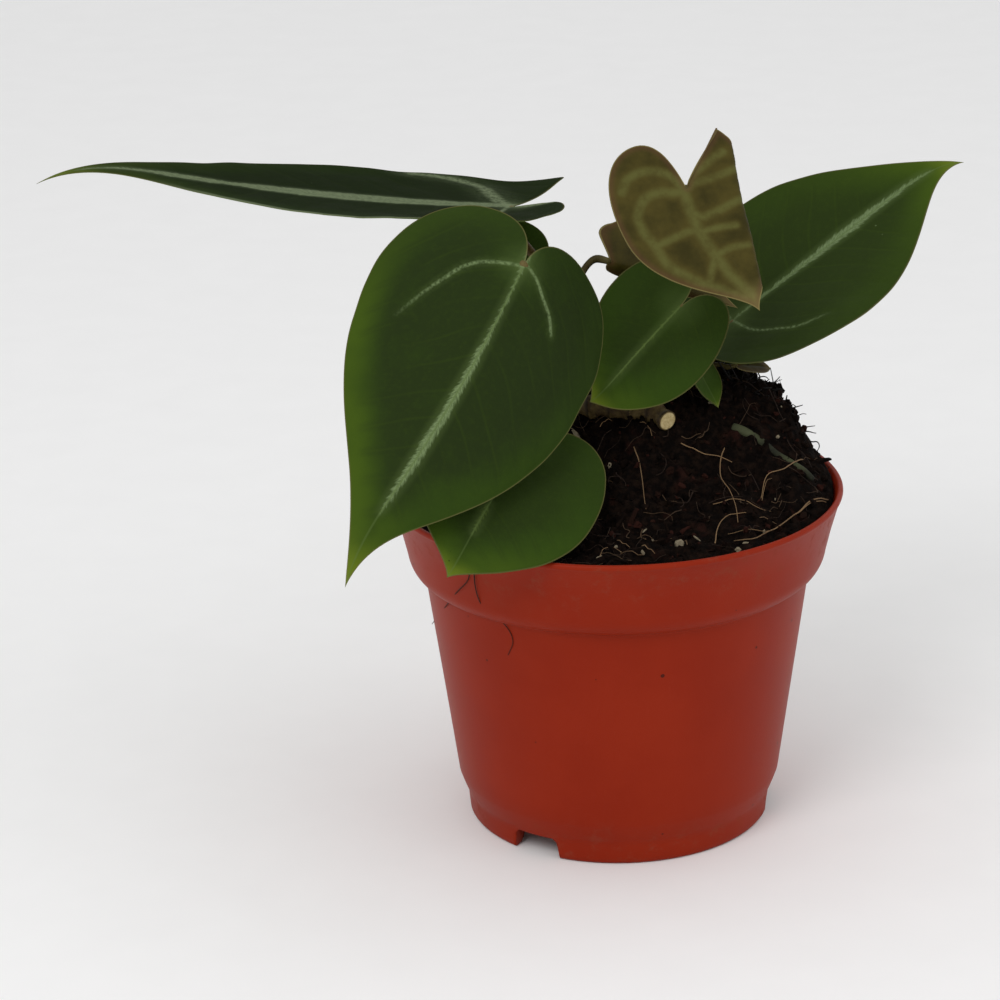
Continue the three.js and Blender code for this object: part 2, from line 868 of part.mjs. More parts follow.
const plant = new THREE.Group();
plant.name = "potted_anthurium";
plant.add(mesh("pot", potGeometry(), COLOURS.pot, 0.45));
plant.add(mesh("rhizome", rhizomeGeometry(), COLOURS.rhizome, 0.7));
plant.add(mesh("old_stalk", oldStalkGeometry(), COLOURS.oldStalk, 0.75));
const holes = [rhizomeGeometry(GAP), oldStalkGeometry(GAP)];
for (const [name, leaf] of Object.entries(LEAVES)) {
  plant.add(mesh(`${name}_blade`, bladeGeometry(leaf), leaf.colour, 0.5));
  plant.add(mesh(`${name}_stalk`, stalkGeometry(leaf), COLOURS.stalk, 0.5));
  holes.push(holeGeometry(leaf));
}
plant.add(mesh("soil", soilGeometry(holes), COLOURS.soil, 0.95));

export default plant;
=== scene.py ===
"""A young silver-veined anthurium in a plastic nursery pot, dressed for rendering.

Sizes are millimetres until the meshes are made, and angles are degrees.
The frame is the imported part's: +Z up,
the origin on the pot's axis at the surface it stands on, -Y the front of the plant.
"""

import math

import bpy
import numpy as np
from mathutils import Matrix, Vector


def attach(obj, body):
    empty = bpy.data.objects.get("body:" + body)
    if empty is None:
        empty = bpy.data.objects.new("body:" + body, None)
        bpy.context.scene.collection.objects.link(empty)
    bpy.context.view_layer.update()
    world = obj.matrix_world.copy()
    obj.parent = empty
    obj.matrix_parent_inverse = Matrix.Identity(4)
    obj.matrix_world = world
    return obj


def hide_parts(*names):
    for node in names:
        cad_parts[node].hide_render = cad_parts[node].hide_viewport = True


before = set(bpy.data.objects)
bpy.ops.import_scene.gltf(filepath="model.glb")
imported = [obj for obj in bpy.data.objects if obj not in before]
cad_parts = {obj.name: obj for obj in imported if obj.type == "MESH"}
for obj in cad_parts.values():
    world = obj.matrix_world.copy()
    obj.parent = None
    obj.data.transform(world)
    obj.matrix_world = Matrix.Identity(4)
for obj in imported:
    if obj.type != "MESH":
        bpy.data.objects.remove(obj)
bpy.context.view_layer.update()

MM = 0.001
SEED = 7

# Camera, from the pot's rim ellipse and wall in the photograph
CAMERA_DISTANCE = 900
CAMERA_ELEVATION = 20.2
CAMERA_ROLL = -1.35
CAMERA_TARGET = (-30.5, 0, 87.3)
LENS = 122.76
SENSOR = 36
IMAGE_WIDTH = 1000

# Pot
POT_SEGMENTS = 288
POT_HEIGHT = 91
RIM_RADIUS = 60
WALL = 1.1
COLLAR_FOOT_RADIUS = 55.5
COLLAR_FOOT_Z = 75
COLLAR_MIDDLE = (56.9, 81)
LEDGE_Z = 69
LEDGE_RADIUS = 51.1
HEEL_Z = 12
HEEL_RADIUS = 43.2
FOOT_TOP_Z = 6
FOOT_RADIUS = 40.4
FOOT_THICKNESS = 3.2
PAD_RADIUS = 14
FLOOR = 1.4
NOTCH_ANGLES = (-35, 85, 205)
NOTCH_WIDTH = 13.5
NOTCH_HEIGHT = 5.6
NOTCH_ROUNDING = 0.7
DRAIN_COUNT = 6
DRAIN_RADIUS = 3
DRAIN_CIRCLE_RADIUS = 27

# Soil
GAP = 0.3
SOIL_EDGE_Z = 88
MOUND_HEIGHT = 26.5
MOUND = (22, 18)
MOUND_REACH_X = (57, 40)
MOUND_REACH_Y = (32, 40)
MOUND_SHOULDER = 3.2
MOUND_FRONT_SHOULDER = 1.6
WALL_RADIUS = RIM_RADIUS - 1.5
WALL_FALL = 10
CLUMPS = (1.5, 6.5)
CRUMBS = (0.8, 2.1)
SOIL_RINGS = 150
SOIL_SEGMENTS = 420

# Leaves
ARC_STEPS = 24
TIP_START = 0.7
BLADE_THICKNESS = 0.5
EDGE_THICKNESS = 0.2
LARGE = dict(sinus=14, lobe=36, side=100, across=44)
SMALL = dict(sinus=8, lobe=22, side=50, across=26)
BRONZE = dict(sinus=14, lobe=32, side=64, across=44)
TINY = dict(sinus=5, lobe=8, side=16, across=8)

LEAVES = {
    "long_leaf": dict(
        length=127, left=37, right=35.5, lobe_left=13.5, lobe_right=16.5, wide_at=0.21, full=0.4,
        taper=0.4, point=0.12, attach=(-25.6, 36, 157.4), heading=185, pitch=4, roll=2, arch=13.5,
        sweep=8.5, twist=-8, tip_curl=-42, lobe_drop=21.5, fold_left=2, fold_right=-1, curl_left=11.5,
        curl_right=1, open_left=-0.2, open_right=0.55, stalk_radius=1.35,
        stalk=[(-4, 19, 98), (-5.5, 20, 110), (-12.5, 26, 127.5), (-19, 32, 143)],
    ),
    "front_leaf": dict(
        length=100.5, left=36, right=37, lobe_left=13.5, lobe_right=14, wide_at=0.13, full=0.49,
        taper=0.32, point=0.13, attach=(-23, -21, 158), heading=-118, pitch=-36, roll=-23, arch=4,
        sweep=-17, twist=-5, tip_curl=-34, lobe_drop=-11, fold_left=-33, fold_right=-7, curl_left=-24,
        curl_right=-13, stalk_radius=1.4,
        stalk=[(-12.5, 7, 95), (-13.5, 4, 107), (-15.5, -4, 128.5), (-18.5, -11, 143)],
    ),
    "right_leaf": dict(
        length=79, left=30.5, right=31.5, lobe_left=12.5, lobe_right=13, wide_at=0.23, full=0.48,
        taper=0.31, point=0.11, attach=(32.5, 27.5, 126.5), heading=22, pitch=31, roll=4, arch=-1,
        sweep=-1, twist=23, tip_curl=-35, lobe_drop=16, fold_left=7, fold_right=3, curl_left=9,
        curl_right=-6, stalk_radius=1.4,
        stalk=[(18.5, 18, 98), (19.5, 19, 105.5), (22.5, 21.5, 114)],
    ),
    "middle_leaf": dict(
        length=37, left=17, right=17.5, lobe_left=7.5, lobe_right=10, wide_at=0.28, full=0.7,
        taper=0.12, point=0.13, attach=(18, 8.5, 137), heading=-145, pitch=-33, roll=-33, arch=-1,
        sweep=7, twist=-36, tip_curl=18, lobe_drop=3, fold_left=3, fold_right=12, curl_left=2,
        curl_right=16, stalk_radius=1.1,
        stalk=[(6.5, 10, 100), (8, 11, 112), (12.5, 12, 124)],
    ),
    "rim_leaf": dict(
        length=56, left=25, right=24, lobe_left=10, lobe_right=11, wide_at=0.31, full=0.62, taper=0.19,
        point=0.12, attach=(-22, -24.5, 112), heading=-115, pitch=-12.5, roll=-29.5, arch=-14,
        sweep=1.5, twist=-5, tip_curl=11, lobe_drop=10, fold_left=-1, fold_right=5, curl_left=4,
        curl_right=-2, stalk_radius=1.1,
        stalk=[(-13, 0, 88), (-14, -1, 96), (-17, -4, 101.5)],
    ),
    "bronze_leaf": dict(
        length=37.5, left=20, right=22, lobe_left=11, lobe_right=15.5, open_left=0.8, open_right=-0.1,
        wide_at=0.18, full=0.51,
        taper=0.23, point=0.11, attach=(18.5, -8.5, 173.5), heading=-45, pitch=-47, roll=18, arch=2,
        sweep=-10, twist=4, tip_curl=-4, lobe_drop=0, fold_left=3, fold_right=-4, curl_left=-1,
        curl_right=-1, flap_left=-150, flap_at=0.85, flap_roll=0.22, flap_bow=0.12,
        stalk_radius=1,
        stalk=[(14.5, 19, 99), (14.5, 18.5, 110), (13.8, 17.5, 126.5), (13, 17.3, 139), (13, 18, 147.5),
               (14.5, 9, 157)],
    ),
    "bronze_rear_leaf": dict(
        length=39.5, left=14.5, right=4, lobe_left=1.8, lobe_right=1, wide_at=0.22, full=0.45,
        taper=0.3, point=0.25, attach=(0, 16.5, 147.2), heading=17, pitch=-21.5, roll=48, arch=-8,
        sweep=-1, twist=0, tip_curl=3, lobe_drop=-13, fold_left=-1, fold_right=-35, curl_left=0.5,
        curl_right=-60, open_left=0.3, stalk_meets=45, stalk_radius=1.05,
        stalk=[(0, 17.5, 100), (-2.5, 17, 112), (-8, 15.5, 126), (-10.4, 14, 136.5), (-8.6, 13.8, 143.2),],
    ),
    "back_leaf": dict(
        length=44, left=16, right=16.5, lobe_left=5.5, lobe_right=7.5, wide_at=0.21, full=0.45,
        taper=0.3, point=0.1, attach=(-21.1, 42, 137), heading=164, pitch=-15.5, roll=-50, arch=-9,
        sweep=0, twist=0, tip_curl=0, lobe_drop=13, fold_left=3.5, fold_right=4, curl_left=0.5,
        curl_right=2.5, stalk_radius=1.15,
        stalk=[(-1, 25, 97), (-2.5, 27, 110), (-12, 38, 126)],
    ),
    "bronze_low_leaf": dict(
        length=10, left=3.2, right=3.2, lobe_left=0.6, lobe_right=0.6, wide_at=0.4, full=0.7,
        taper=0.12, point=0.4, attach=(33.3, 17.2, 117.6), heading=20, pitch=-8, roll=25, arch=-10,
        sweep=0, twist=0, tip_curl=0, lobe_drop=0, fold_left=6, fold_right=6, curl_left=0, curl_right=0,
        stalk_meets=15, stalk_radius=0.7,
        stalk=[(20, 14, 103), (20.5, 14.5, 111), (23.5, 15.5, 117), (28.5, 16.6, 118)],
    ),
    "low_leaf": dict(
        length=13.5, left=5.5, right=5.5, lobe_left=2.5, lobe_right=2.5, wide_at=0.35, full=0.6,
        taper=0.2, point=0.2, attach=(21.5, 9.5, 121), heading=-41, pitch=-54, roll=0, arch=0, sweep=0,
        twist=0, tip_curl=0, lobe_drop=0, fold_left=12, fold_right=12, curl_left=0, curl_right=0,
        stalk_radius=0.7,
        stalk=[(15, 12, 104), (15.5, 12, 112), (18, 11, 118.5)],
    ),
}

# Veins that show in paler green: each runs through points of the flat leaf, s ahead of the stalk and t to the
# left of the midrib, with its half width.
VEINS = {
    "front_leaf": [
        (0.55, [(0.8, 0), (1.8, -6.1), (3.3, -10.8), (6.2, -14.5), (10.5, -17.3), (16.2, -20.6),
               (25.6, -24.8)]),
        (0.5, [(0.1, 1.4), (1.6, 5), (4.4, 8.7), (7.3, 12.8), (11, 15.6)]),
    ],
    "long_leaf": [
        (2, [(0.5, 0), (2.5, -4.5), (4.3, -13.9), (7, -24.7), (12.4, -29.7), (23.2, -33.3)]),
        (0.7, [(0.5, 0), (2.5, 6), (6, 14), (11, 21), (18, 26), (27, 29)]),
    ],
    "right_leaf": [
        (0.4, [(0.3, 0), (1.5, -11.2), (4.9, -16.3), (9, -20.7), (18.2, -23.5)]),
        (0.4, [(0.3, 0), (2, 9), (5.5, 15), (10, 19.5), (19, 22)]),
    ],
    "bronze_leaf": [
        (1.25, [(-1.5, 0), (0.5, -1.1), (10.8, -3.3), (19.2, -3.1), (27.5, -1.7), (36, 1.2)]),
        (1.1, [(0.8, -1.4), (-0.2, -4.2), (-1.8, -7.8), (-1.5, -12.3), (1.2, -15.6), (5.2, -16.7),
               (10.2, -15.9), (16.5, -15.3), (20.8, -12.8), (24.8, -9.7), (28.2, -6.4), (33, -2)]),
        (1.0, [(0.2, -1.4), (-3.5, -1.9), (-6.8, -4.7), (-8.5, -8.6), (-8.2, -13.1), (-5.8, -16.2)]),
        (0.9, [(11.2, -3.3), (10.8, -7), (10.8, -15.9)]),
        (0.8, [(19.5, -3.1), (22.5, -5.6), (25.5, -8.1)]),
        (0.9, [(0.5, -0.6), (0, 2.8), (0.6, 6.8), (1.1, 15)]),
        (0.9, [(0, 0), (-2.4, 4.1), (-3.6, 8.9), (-4.5, 14.2)]),
        (0.9, [(6.5, -2.5), (8.8, -0.6), (9.1, 3), (8.8, 12)]),
        (0.8, [(12.5, -2.8), (13, 0.8), (14.5, 6)]),
        (0.8, [(19.5, -2.5), (19.4, 1.5), (20.5, 6)]),
    ],
}

# The silver along each midrib: half width at shares of the leaf's length.
SILVER = {
    "front_leaf": [
        (0, 0.7), (0.04, 0.3), (0.18, 0.35), (0.32, 0.9), (0.5, 1.15), (0.64, 1.2), (0.76, 0.45),
        (0.84, -0.6),
    ],
    "long_leaf": [
        (0, 2.2), (0.3, 3.8), (0.5, 3), (0.6, 1.4), (0.68, 2.2), (0.8, 0.9), (0.9, 0.2), (0.94, -0.5),
    ],
    "right_leaf": [(0, 0.3), (0.1, 0.5), (0.3, 1), (0.5, 1.6), (0.7, 0.9), (0.85, 0.4), (0.9, -0.4)],
    "rim_leaf": [(0, -0.5), (0.45, -0.3), (0.55, 0.7), (0.68, 0.4), (0.75, -0.5)],
    "middle_leaf": [(0, 0.25), (0.7, 0.2), (0.9, -0.3)],
    "back_leaf": [(0, 0.4), (0.5, 0.9), (0.9, -0.3)],
}
NO_SILVER = [(0, -0.5), (1, -0.5)]


def srgb(red, green, blue):
    """A colour on the 0 to 255 scale as linear light."""
    def linear(value):
        value /= 255
        return value / 12.92 if value <= 0.04045 else ((value + 0.055) / 1.055) ** 2.4
    return (linear(red), linear(green), linear(blue), 1)


class Net:
    """A material's node tree, built by calls that take numbers or sockets and return sockets."""

    def __init__(self, name, **settings):
        self.material = bpy.data.materials.new(name)
        self.material.use_nodes = True
        self.tree = self.material.node_tree
        self.tree.nodes.clear()
        output = self.tree.nodes.new("ShaderNodeOutputMaterial")
        self.shader = self.tree.nodes.new("ShaderNodeBsdfPrincipled")
        self.tree.links.new(self.shader.outputs["BSDF"], output.inputs["Surface"])
        for socket, value in settings.items():
            self.shader.inputs[socket.replace("_", " ")].default_value = value

    def node(self, kind, inputs, **options):
        made = self.tree.nodes.new("ShaderNode" + kind)
        for key, value in options.items():
            setattr(made, key, value)
        for key, value in inputs.items():
            self.feed(made.inputs[key], value)
        return made

    def feed(self, socket, value):
        if isinstance(value, bpy.types.NodeSocket):
            self.tree.links.new(value, socket)
        else:
            socket.default_value = value

    def set(self, **values):
        for key, value in values.items():
            self.feed(self.shader.inputs[key.replace("_", " ")], value)

    def math(self, operation, *values):
        return self.node("Math", dict(enumerate(values)), operation=operation).outputs[0]

    def span(self, value, low, high, start=0.0, end=1.0):
        """start where value is low, end where it is high, smooth between."""
        inputs = {"Value": value, "From Min": low, "From Max": high, "To Min": start, "To Max": end}
        return self.node("MapRange", inputs, interpolation_type="SMOOTHSTEP").outputs["Result"]

    def mix(self, share, first, second):
        made = self.node("Mix", {"Factor": share}, data_type="RGBA")
        self.feed(made.inputs[6], first)
        self.feed(made.inputs[7], second)
        return made.outputs[2]

    def attribute(self, name):
        return self.node("Attribute", {}, attribute_name=name)

    def split(self, name):
        return self.node("SeparateXYZ", {0: self.attribute(name).outputs["Vector"]}).outputs

    def point(self, x=0.0, y=0.0, z=0.0):
        return self.node("CombineXYZ", {0: x, 1: y, 2: z}).outputs[0]

    def place(self):
        return self.node("TexCoord", {}).outputs["Object"]

    def math_vector(self, vector, shift):
        return self.node("Mapping", {"Vector": vector, "Location": shift}).outputs[0]

    def noise(self, vector, size, detail=2.0, roughness=0.5):
        """Smooth noise from 0 to 1 whose features are about size across, in the vector's own unit."""
        inputs = {"Vector": vector, "Scale": 1 / size, "Detail": detail, "Roughness": roughness}
        return self.node("TexNoise", inputs).outputs["Fac"]

    def cells(self, vector, size, feature="F1"):
        cells = self.node("TexVoronoi", {"Vector": vector, "Scale": 1 / size}, feature=feature)
        return cells.outputs["Distance"]

    def bump(self, height, depth, strength=1.0):
        """A relief of that depth in metres."""
        inputs = {"Height": height, "Distance": depth, "Strength": strength}
        self.set(Normal=self.node("Bump", inputs).outputs["Normal"])


def mesh_object(name, points, faces, material, smooth=True):
    """A mesh piece from points in millimetres."""
    data = bpy.data.meshes.new(name)
    data.from_pydata((np.asarray(points, float) * MM).tolist(), [], [list(map(int, f)) for f in faces])
    data.polygons.foreach_set("use_smooth", [smooth] * len(data.polygons))
    data.materials.append(material)
    data.update()
    made = bpy.data.objects.new(name, data)
    bpy.context.scene.collection.objects.link(made)
    return made


def attach_values(piece, name, values):
    """Named values per point, which the material reads."""
    values = np.asarray(values, np.float32)
    if values.ndim == 1:
        piece.data.attributes.new(name, "FLOAT", "POINT").data.foreach_set("value", values)
    else:
        piece.data.attributes.new(name, "FLOAT_VECTOR", "POINT").data.foreach_set("vector", values.ravel())


def finish_piece(piece, slot, *nodes):
    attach(piece, "root")
    if nodes:
        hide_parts(*nodes)
    return piece


def hashed(i, j, k):
    value = np.sin(i * 127.1 + j * 311.7 + k * 74.7 + SEED) * 43758.5453
    return value - np.floor(value)


def lattice_noise(x, y, k):
    """Smooth noise between -1 and 1 on a square lattice."""
    x, y = np.asarray(x, float), np.asarray(y, float)
    i, j = np.floor(x), np.floor(y)
    a, b = x - i, y - j
    a, b = a * a * (3 - 2 * a), b * b * (3 - 2 * b)
    low = hashed(i, j, k) * (1 - a) + hashed(i + 1, j, k) * a
    high = hashed(i, j + 1, k) * (1 - a) + hashed(i + 1, j + 1, k) * a
    return 2 * (low * (1 - b) + high * b) - 1


def smooth_step(value):
    value = np.clip(value, 0, 1)
    return value * value * (3 - 2 * value)


# Camera

def add_camera():
    """The camera at the photograph's viewing angle, rolled a little as the photograph is."""
    tilt, roll = math.radians(CAMERA_ELEVATION), math.radians(CAMERA_ROLL)
    back = Vector((0, -math.cos(tilt), math.sin(tilt)))
    right = Vector((1, 0, 0))
    up = back.cross(right)
    turned_right = math.cos(roll) * right + math.sin(roll) * up
    turned_up = math.cos(roll) * up - math.sin(roll) * right
    data = bpy.data.cameras.new("camera")
    data.lens = LENS
    data.sensor_width = SENSOR
    camera = bpy.data.objects.new("camera", data)
    axes = Matrix((turned_right, turned_up, back)).transposed().to_4x4()
    camera.matrix_world = Matrix.Translation((Vector(CAMERA_TARGET) + CAMERA_DISTANCE * back) * MM) @ axes
    bpy.context.scene.collection.objects.link(camera)
    bpy.context.scene.camera = camera
    return camera


def sight_line(pixel):
    """Where the photograph's camera stands, and its direction through that pixel, in millimetres."""
    focal = LENS / SENSOR * IMAGE_WIDTH
    axes = np.array(camera.matrix_world.to_3x3())
    middle = IMAGE_WIDTH / 2
    ray = axes @ np.array(((pixel[0] - middle) / focal, (middle - pixel[1]) / focal, -1))
    return np.array(camera.matrix_world.translation) / MM, ray / np.linalg.norm(ray)


# Soil surface

def soil_height(x, y, crumbs=1.0):
    """The level of the soil, as the solid model has it, with that share of its crumbs."""
    x, y = np.asarray(x, float), np.asarray(y, float)
    reach_x = np.where(x < MOUND[0], *MOUND_REACH_X)
    reach_y = np.where(y < MOUND[1], *MOUND_REACH_Y)
    shoulder = np.where(y < MOUND[1], MOUND_FRONT_SHOULDER, MOUND_SHOULDER)
    mound = np.exp(-np.abs((x - MOUND[0]) / reach_x) ** MOUND_SHOULDER
                   - np.abs((y - MOUND[1]) / reach_y) ** shoulder)
    wall = np.maximum(0, 1 - (np.hypot(x, y) / WALL_RADIUS) ** WALL_FALL)
    clumps = CLUMPS[0] * lattice_noise(x / CLUMPS[1], y / CLUMPS[1], 1)
    relief = clumps + crumbs * CRUMBS[0] * lattice_noise(x / CRUMBS[1], y / CRUMBS[1], 2)
    return SOIL_EDGE_Z + MOUND_HEIGHT * mound * wall + relief * np.minimum(1, 2.5 * wall)


def fine_soil_height(x, y):
    """The same level with lumps and pits too fine for the solid model."""
    height = soil_height(x, y)
    lumps = 1 - 2 * np.abs(lattice_noise(x / 1.7, y / 1.7, 5))
    grains = lattice_noise(x / 0.75, y / 0.75, 6)
    return height + 0.65 * lumps + 0.3 * grains


def on_soil(pixel):
    """The point of the soil that the photograph shows at that pixel."""
    start, ray = sight_line(pixel)
    steps = np.linspace(CAMERA_DISTANCE * 0.85, CAMERA_DISTANCE * 1.15, 1500)
    points = start + steps[:, None] * ray
    inside = np.hypot(points[:, 0], points[:, 1]) < WALL_RADIUS
    below = inside & (points[:, 2] < soil_height(points[:, 0], points[:, 1]))
    return points[np.argmax(below)] if below.any() else points[np.argmin(np.abs(points[:, 1]))]


# Tubes

def smooth_path(points, count):
    """count points, evenly spaced along a centripetal Catmull-Rom curve through the given ones."""
    points = np.asarray(points, float)
    points = np.vstack([2 * points[0] - points[1], points, 2 * points[-1] - points[-2]])
    fine = []
    for k in range(1, len(points) - 2):
        p = points[k - 1 : k + 3]
        t = np.concatenate([[0], np.cumsum(np.linalg.norm(np.diff(p, axis=0), axis=1) ** 0.5)])
        u = np.linspace(t[1], t[2], 40, endpoint=False)[:, None]
        a = [((t[i + 1] - u) * p[i] + (u - t[i]) * p[i + 1]) / (t[i + 1] - t[i]) for i in range(3)]
        b = [((t[i + 2] - u) * a[i] + (u - t[i]) * a[i + 1]) / (t[i + 2] - t[i]) for i in range(2)]
        fine.append(((t[2] - u) * b[0] + (u - t[1]) * b[1]) / (t[2] - t[1]))
    fine = np.vstack(fine + [points[-2]])
    length = np.concatenate([[0], np.cumsum(np.linalg.norm(np.diff(fine, axis=0), axis=1))])
    even = np.linspace(0, length[-1], count)
    return np.column_stack([np.interp(even, length, fine[:, i]) for i in range(3)])


def tube(path, radii, sides):
    """Points and faces of a round tube with domed ends, and how far along it each point is, from 0 to 1."""
    path = np.asarray(path, float)
    radii = np.broadcast_to(radii, len(path))
    ahead = np.gradient(path, axis=0)
    ahead /= np.linalg.norm(ahead, axis=1)[:, None]
    across = np.cross(ahead[0], (0.3, 0.5, 0.8))
    rings = []
    angles = np.linspace(0, 2 * math.pi, sides, endpoint=False)
    for centre, direction, radius in zip(path, ahead, radii):
        across = across - direction * (across @ direction)
        across /= np.linalg.norm(across)
        other = np.cross(direction, across)
        rings.append(centre + radius * (np.cos(angles)[:, None] * across + np.sin(angles)[:, None] * other))
    start = path[0] - ahead[0] * radii[0] * 0.4
    end = path[-1] + ahead[-1] * radii[-1] * 0.4
    points = np.vstack(rings + [start, end])
    faces = []
    for i in range(len(path) - 1):
        for k in range(sides):
            n = (k + 1) % sides
            faces.append((i * sides + k, i * sides + n, (i + 1) * sides + n, (i + 1) * sides + k))
    last = (len(path) - 1) * sides
    for k in range(sides):
        n = (k + 1) % sides
        faces.append((len(points) - 2, n, k))
        faces.append((len(points) - 1, last + k, last + n))
    along = np.concatenate([np.repeat(np.linspace(0, 1, len(path)), sides), [0, 1]])
    return points, faces, along


def joined(parts):
    """Several (points, faces, value per point) as one."""
    points, faces, values, count = [], [], [], 0
    for part_points, part_faces, part_values in parts:
        points.append(part_points)
        values.append(part_values)
        faces.extend(tuple(i + count for i in face) for face in part_faces)
        count += len(part_points)
    return np.vstack(points), faces, np.concatenate(values)


# Leaf blades

def arc(length, angle_at):
    """The two legs of a curve of that length whose direction follows angle_at."""
    along, aside = np.zeros_like(length), np.zeros_like(length)
    for k in range(ARC_STEPS):
        angle = np.radians(angle_at(length * (k + 0.5) / ARC_STEPS))
        along += np.cos(angle)
        aside += np.sin(angle)
    return along * length / ARC_STEPS, aside * length / ARC_STEPS


def bezier(count, *corners):
    u = np.linspace(0, 1, count + 1)[1:, None]
    a, b, c, d = np.asarray(corners, float)
    return (1 - u) ** 3 * a + 3 * (1 - u) ** 2 * u * b + 3 * (1 - u) * u ** 2 * c + u ** 3 * d


def margin(leaf, side, detail):
    """The margin of one half in the flat leaf, from beside the stalk round the lobe to the tip."""
    half = leaf["left"] if side > 0 else leaf["right"]
    lobe = leaf["lobe_left"] if side > 0 else leaf["lobe_right"]
    gape = leaf.get("open_left" if side > 0 else "open_right", 0)
    length, wide = leaf["length"], leaf["wide_at"] * leaf["length"]
    rest, lobe_side = length - wide, (0.4 + 0.5 * gape) * half
    return np.vstack([
        bezier(detail["sinus"], (-0.02 * lobe, 0), (-0.55 * lobe, (0.02 + 0.4 * gape) * half),
               (-lobe, (0.14 + gape) * half), (-lobe, lobe_side)),
        bezier(detail["lobe"], (-lobe, lobe_side), (-lobe, (0.78 + 0.1 * gape) * half),
               (wide - 0.55 * (wide + lobe), half), (wide, half)),
        bezier(detail["side"], (wide, half), (wide + leaf["full"] * rest, half),
               (length - leaf["taper"] * rest, leaf["point"] * half), (length, 0)),
    ])


def blade_point(leaf, s, t, side):
    """Where points of the flat leaf lie once the blade is bent and placed.

    t is the distance from the midrib.
    """
    length = leaf["length"]
    half = leaf["left"] if side > 0 else leaf["right"]
    lobe = leaf["lobe_left"] if side > 0 else leaf["lobe_right"]
    lobe_share = (leaf["lobe_left"] + leaf["lobe_right"]) / 2 / length

    def pitch_at(u):
        share = u / length
        tip = np.maximum(0, (share - TIP_START) / (1 - TIP_START))
        back = np.maximum(0, -share) / lobe_share
        return leaf["pitch"] + leaf["arch"] * share + leaf["tip_curl"] * tip ** 2 - leaf["lobe_drop"] * back

    def bend_at(u):
        return leaf["sweep"] * np.maximum(0, u) / length

    run, rise = arc(s, pitch_at)
    ahead, beside = arc(run, bend_at)
    heading = math.radians(leaf["heading"])
    turned = heading + np.radians(bend_at(run))
    pitch = np.radians(pitch_at(s))
    roll = np.radians(leaf["roll"] + leaf["twist"] * s / length)[:, None]
    zero = np.zeros_like(s)
    leftward = np.column_stack([-np.sin(turned), np.cos(turned), zero])
    upward = np.column_stack([-np.sin(pitch) * np.cos(turned), -np.sin(pitch) * np.sin(turned),
                              np.cos(pitch)])
    across = np.cos(roll) * leftward + np.sin(roll) * upward
    normal = np.cos(roll) * upward - np.sin(roll) * leftward
    fold = leaf["fold_left"] if side > 0 else leaf["fold_right"]
    curl = leaf["curl_left"] if side > 0 else leaf["curl_right"]
    flap = leaf.get("flap_left", 0) if side > 0 else 0
    share = (length - s) / (length + 0.6 * lobe)
    bow = 1 - 4 * leaf.get("flap_bow", 0) * share * (1 - share)
    crease = leaf.get("flap_at", 1) * half * share * bow

    def out(u):
        return fold + curl * u / half + flap * smooth_step((u - crease) / (leaf.get("flap_roll", 1) * half))

    sideways, lift = arc(t, out)
    return (
        np.asarray(leaf["attach"], float)
        + ahead[:, None] * (math.cos(heading), math.sin(heading), 0)
        + beside[:, None] * (-math.sin(heading), math.cos(heading), 0)
        + rise[:, None] * (0, 0, 1)
        + side * sideways[:, None] * across
        + lift[:, None] * normal
    )


def line_distance(points, line):
    """The distance of each point to a line of points, in the flat leaf."""
    line = np.asarray(line, float)
    best = np.full(len(points), 1e9)
    for a, b in zip(line[:-1], line[1:]):
        run = b - a
        share = np.clip(((points - a) @ run) / max(run @ run, 1e-12), 0, 1)
        best = np.minimum(best, np.linalg.norm(points - a - share[:, None] * run, axis=1))
    return best


def flat_curve(points):
    """A smooth line through points of the flat leaf."""
    return smooth_path(np.column_stack([points, np.zeros(len(points))]), 60)[:, :2]


def point_normals(points, faces):
    triangles = np.array([(f[0], f[1], f[2]) for f in faces]
                         + [(f[0], f[2], f[3]) for f in faces if len(f) > 3])
    a, b, c = points[triangles[:, 0]], points[triangles[:, 1]], points[triangles[:, 2]]
    face_normals = np.cross(b - a, c - a)
    normals = np.zeros_like(points)
    for corner in range(3):
        np.add.at(normals, triangles[:, corner], face_normals)
    return normals / np.maximum(np.linalg.norm(normals, axis=1), 1e-12)[:, None]


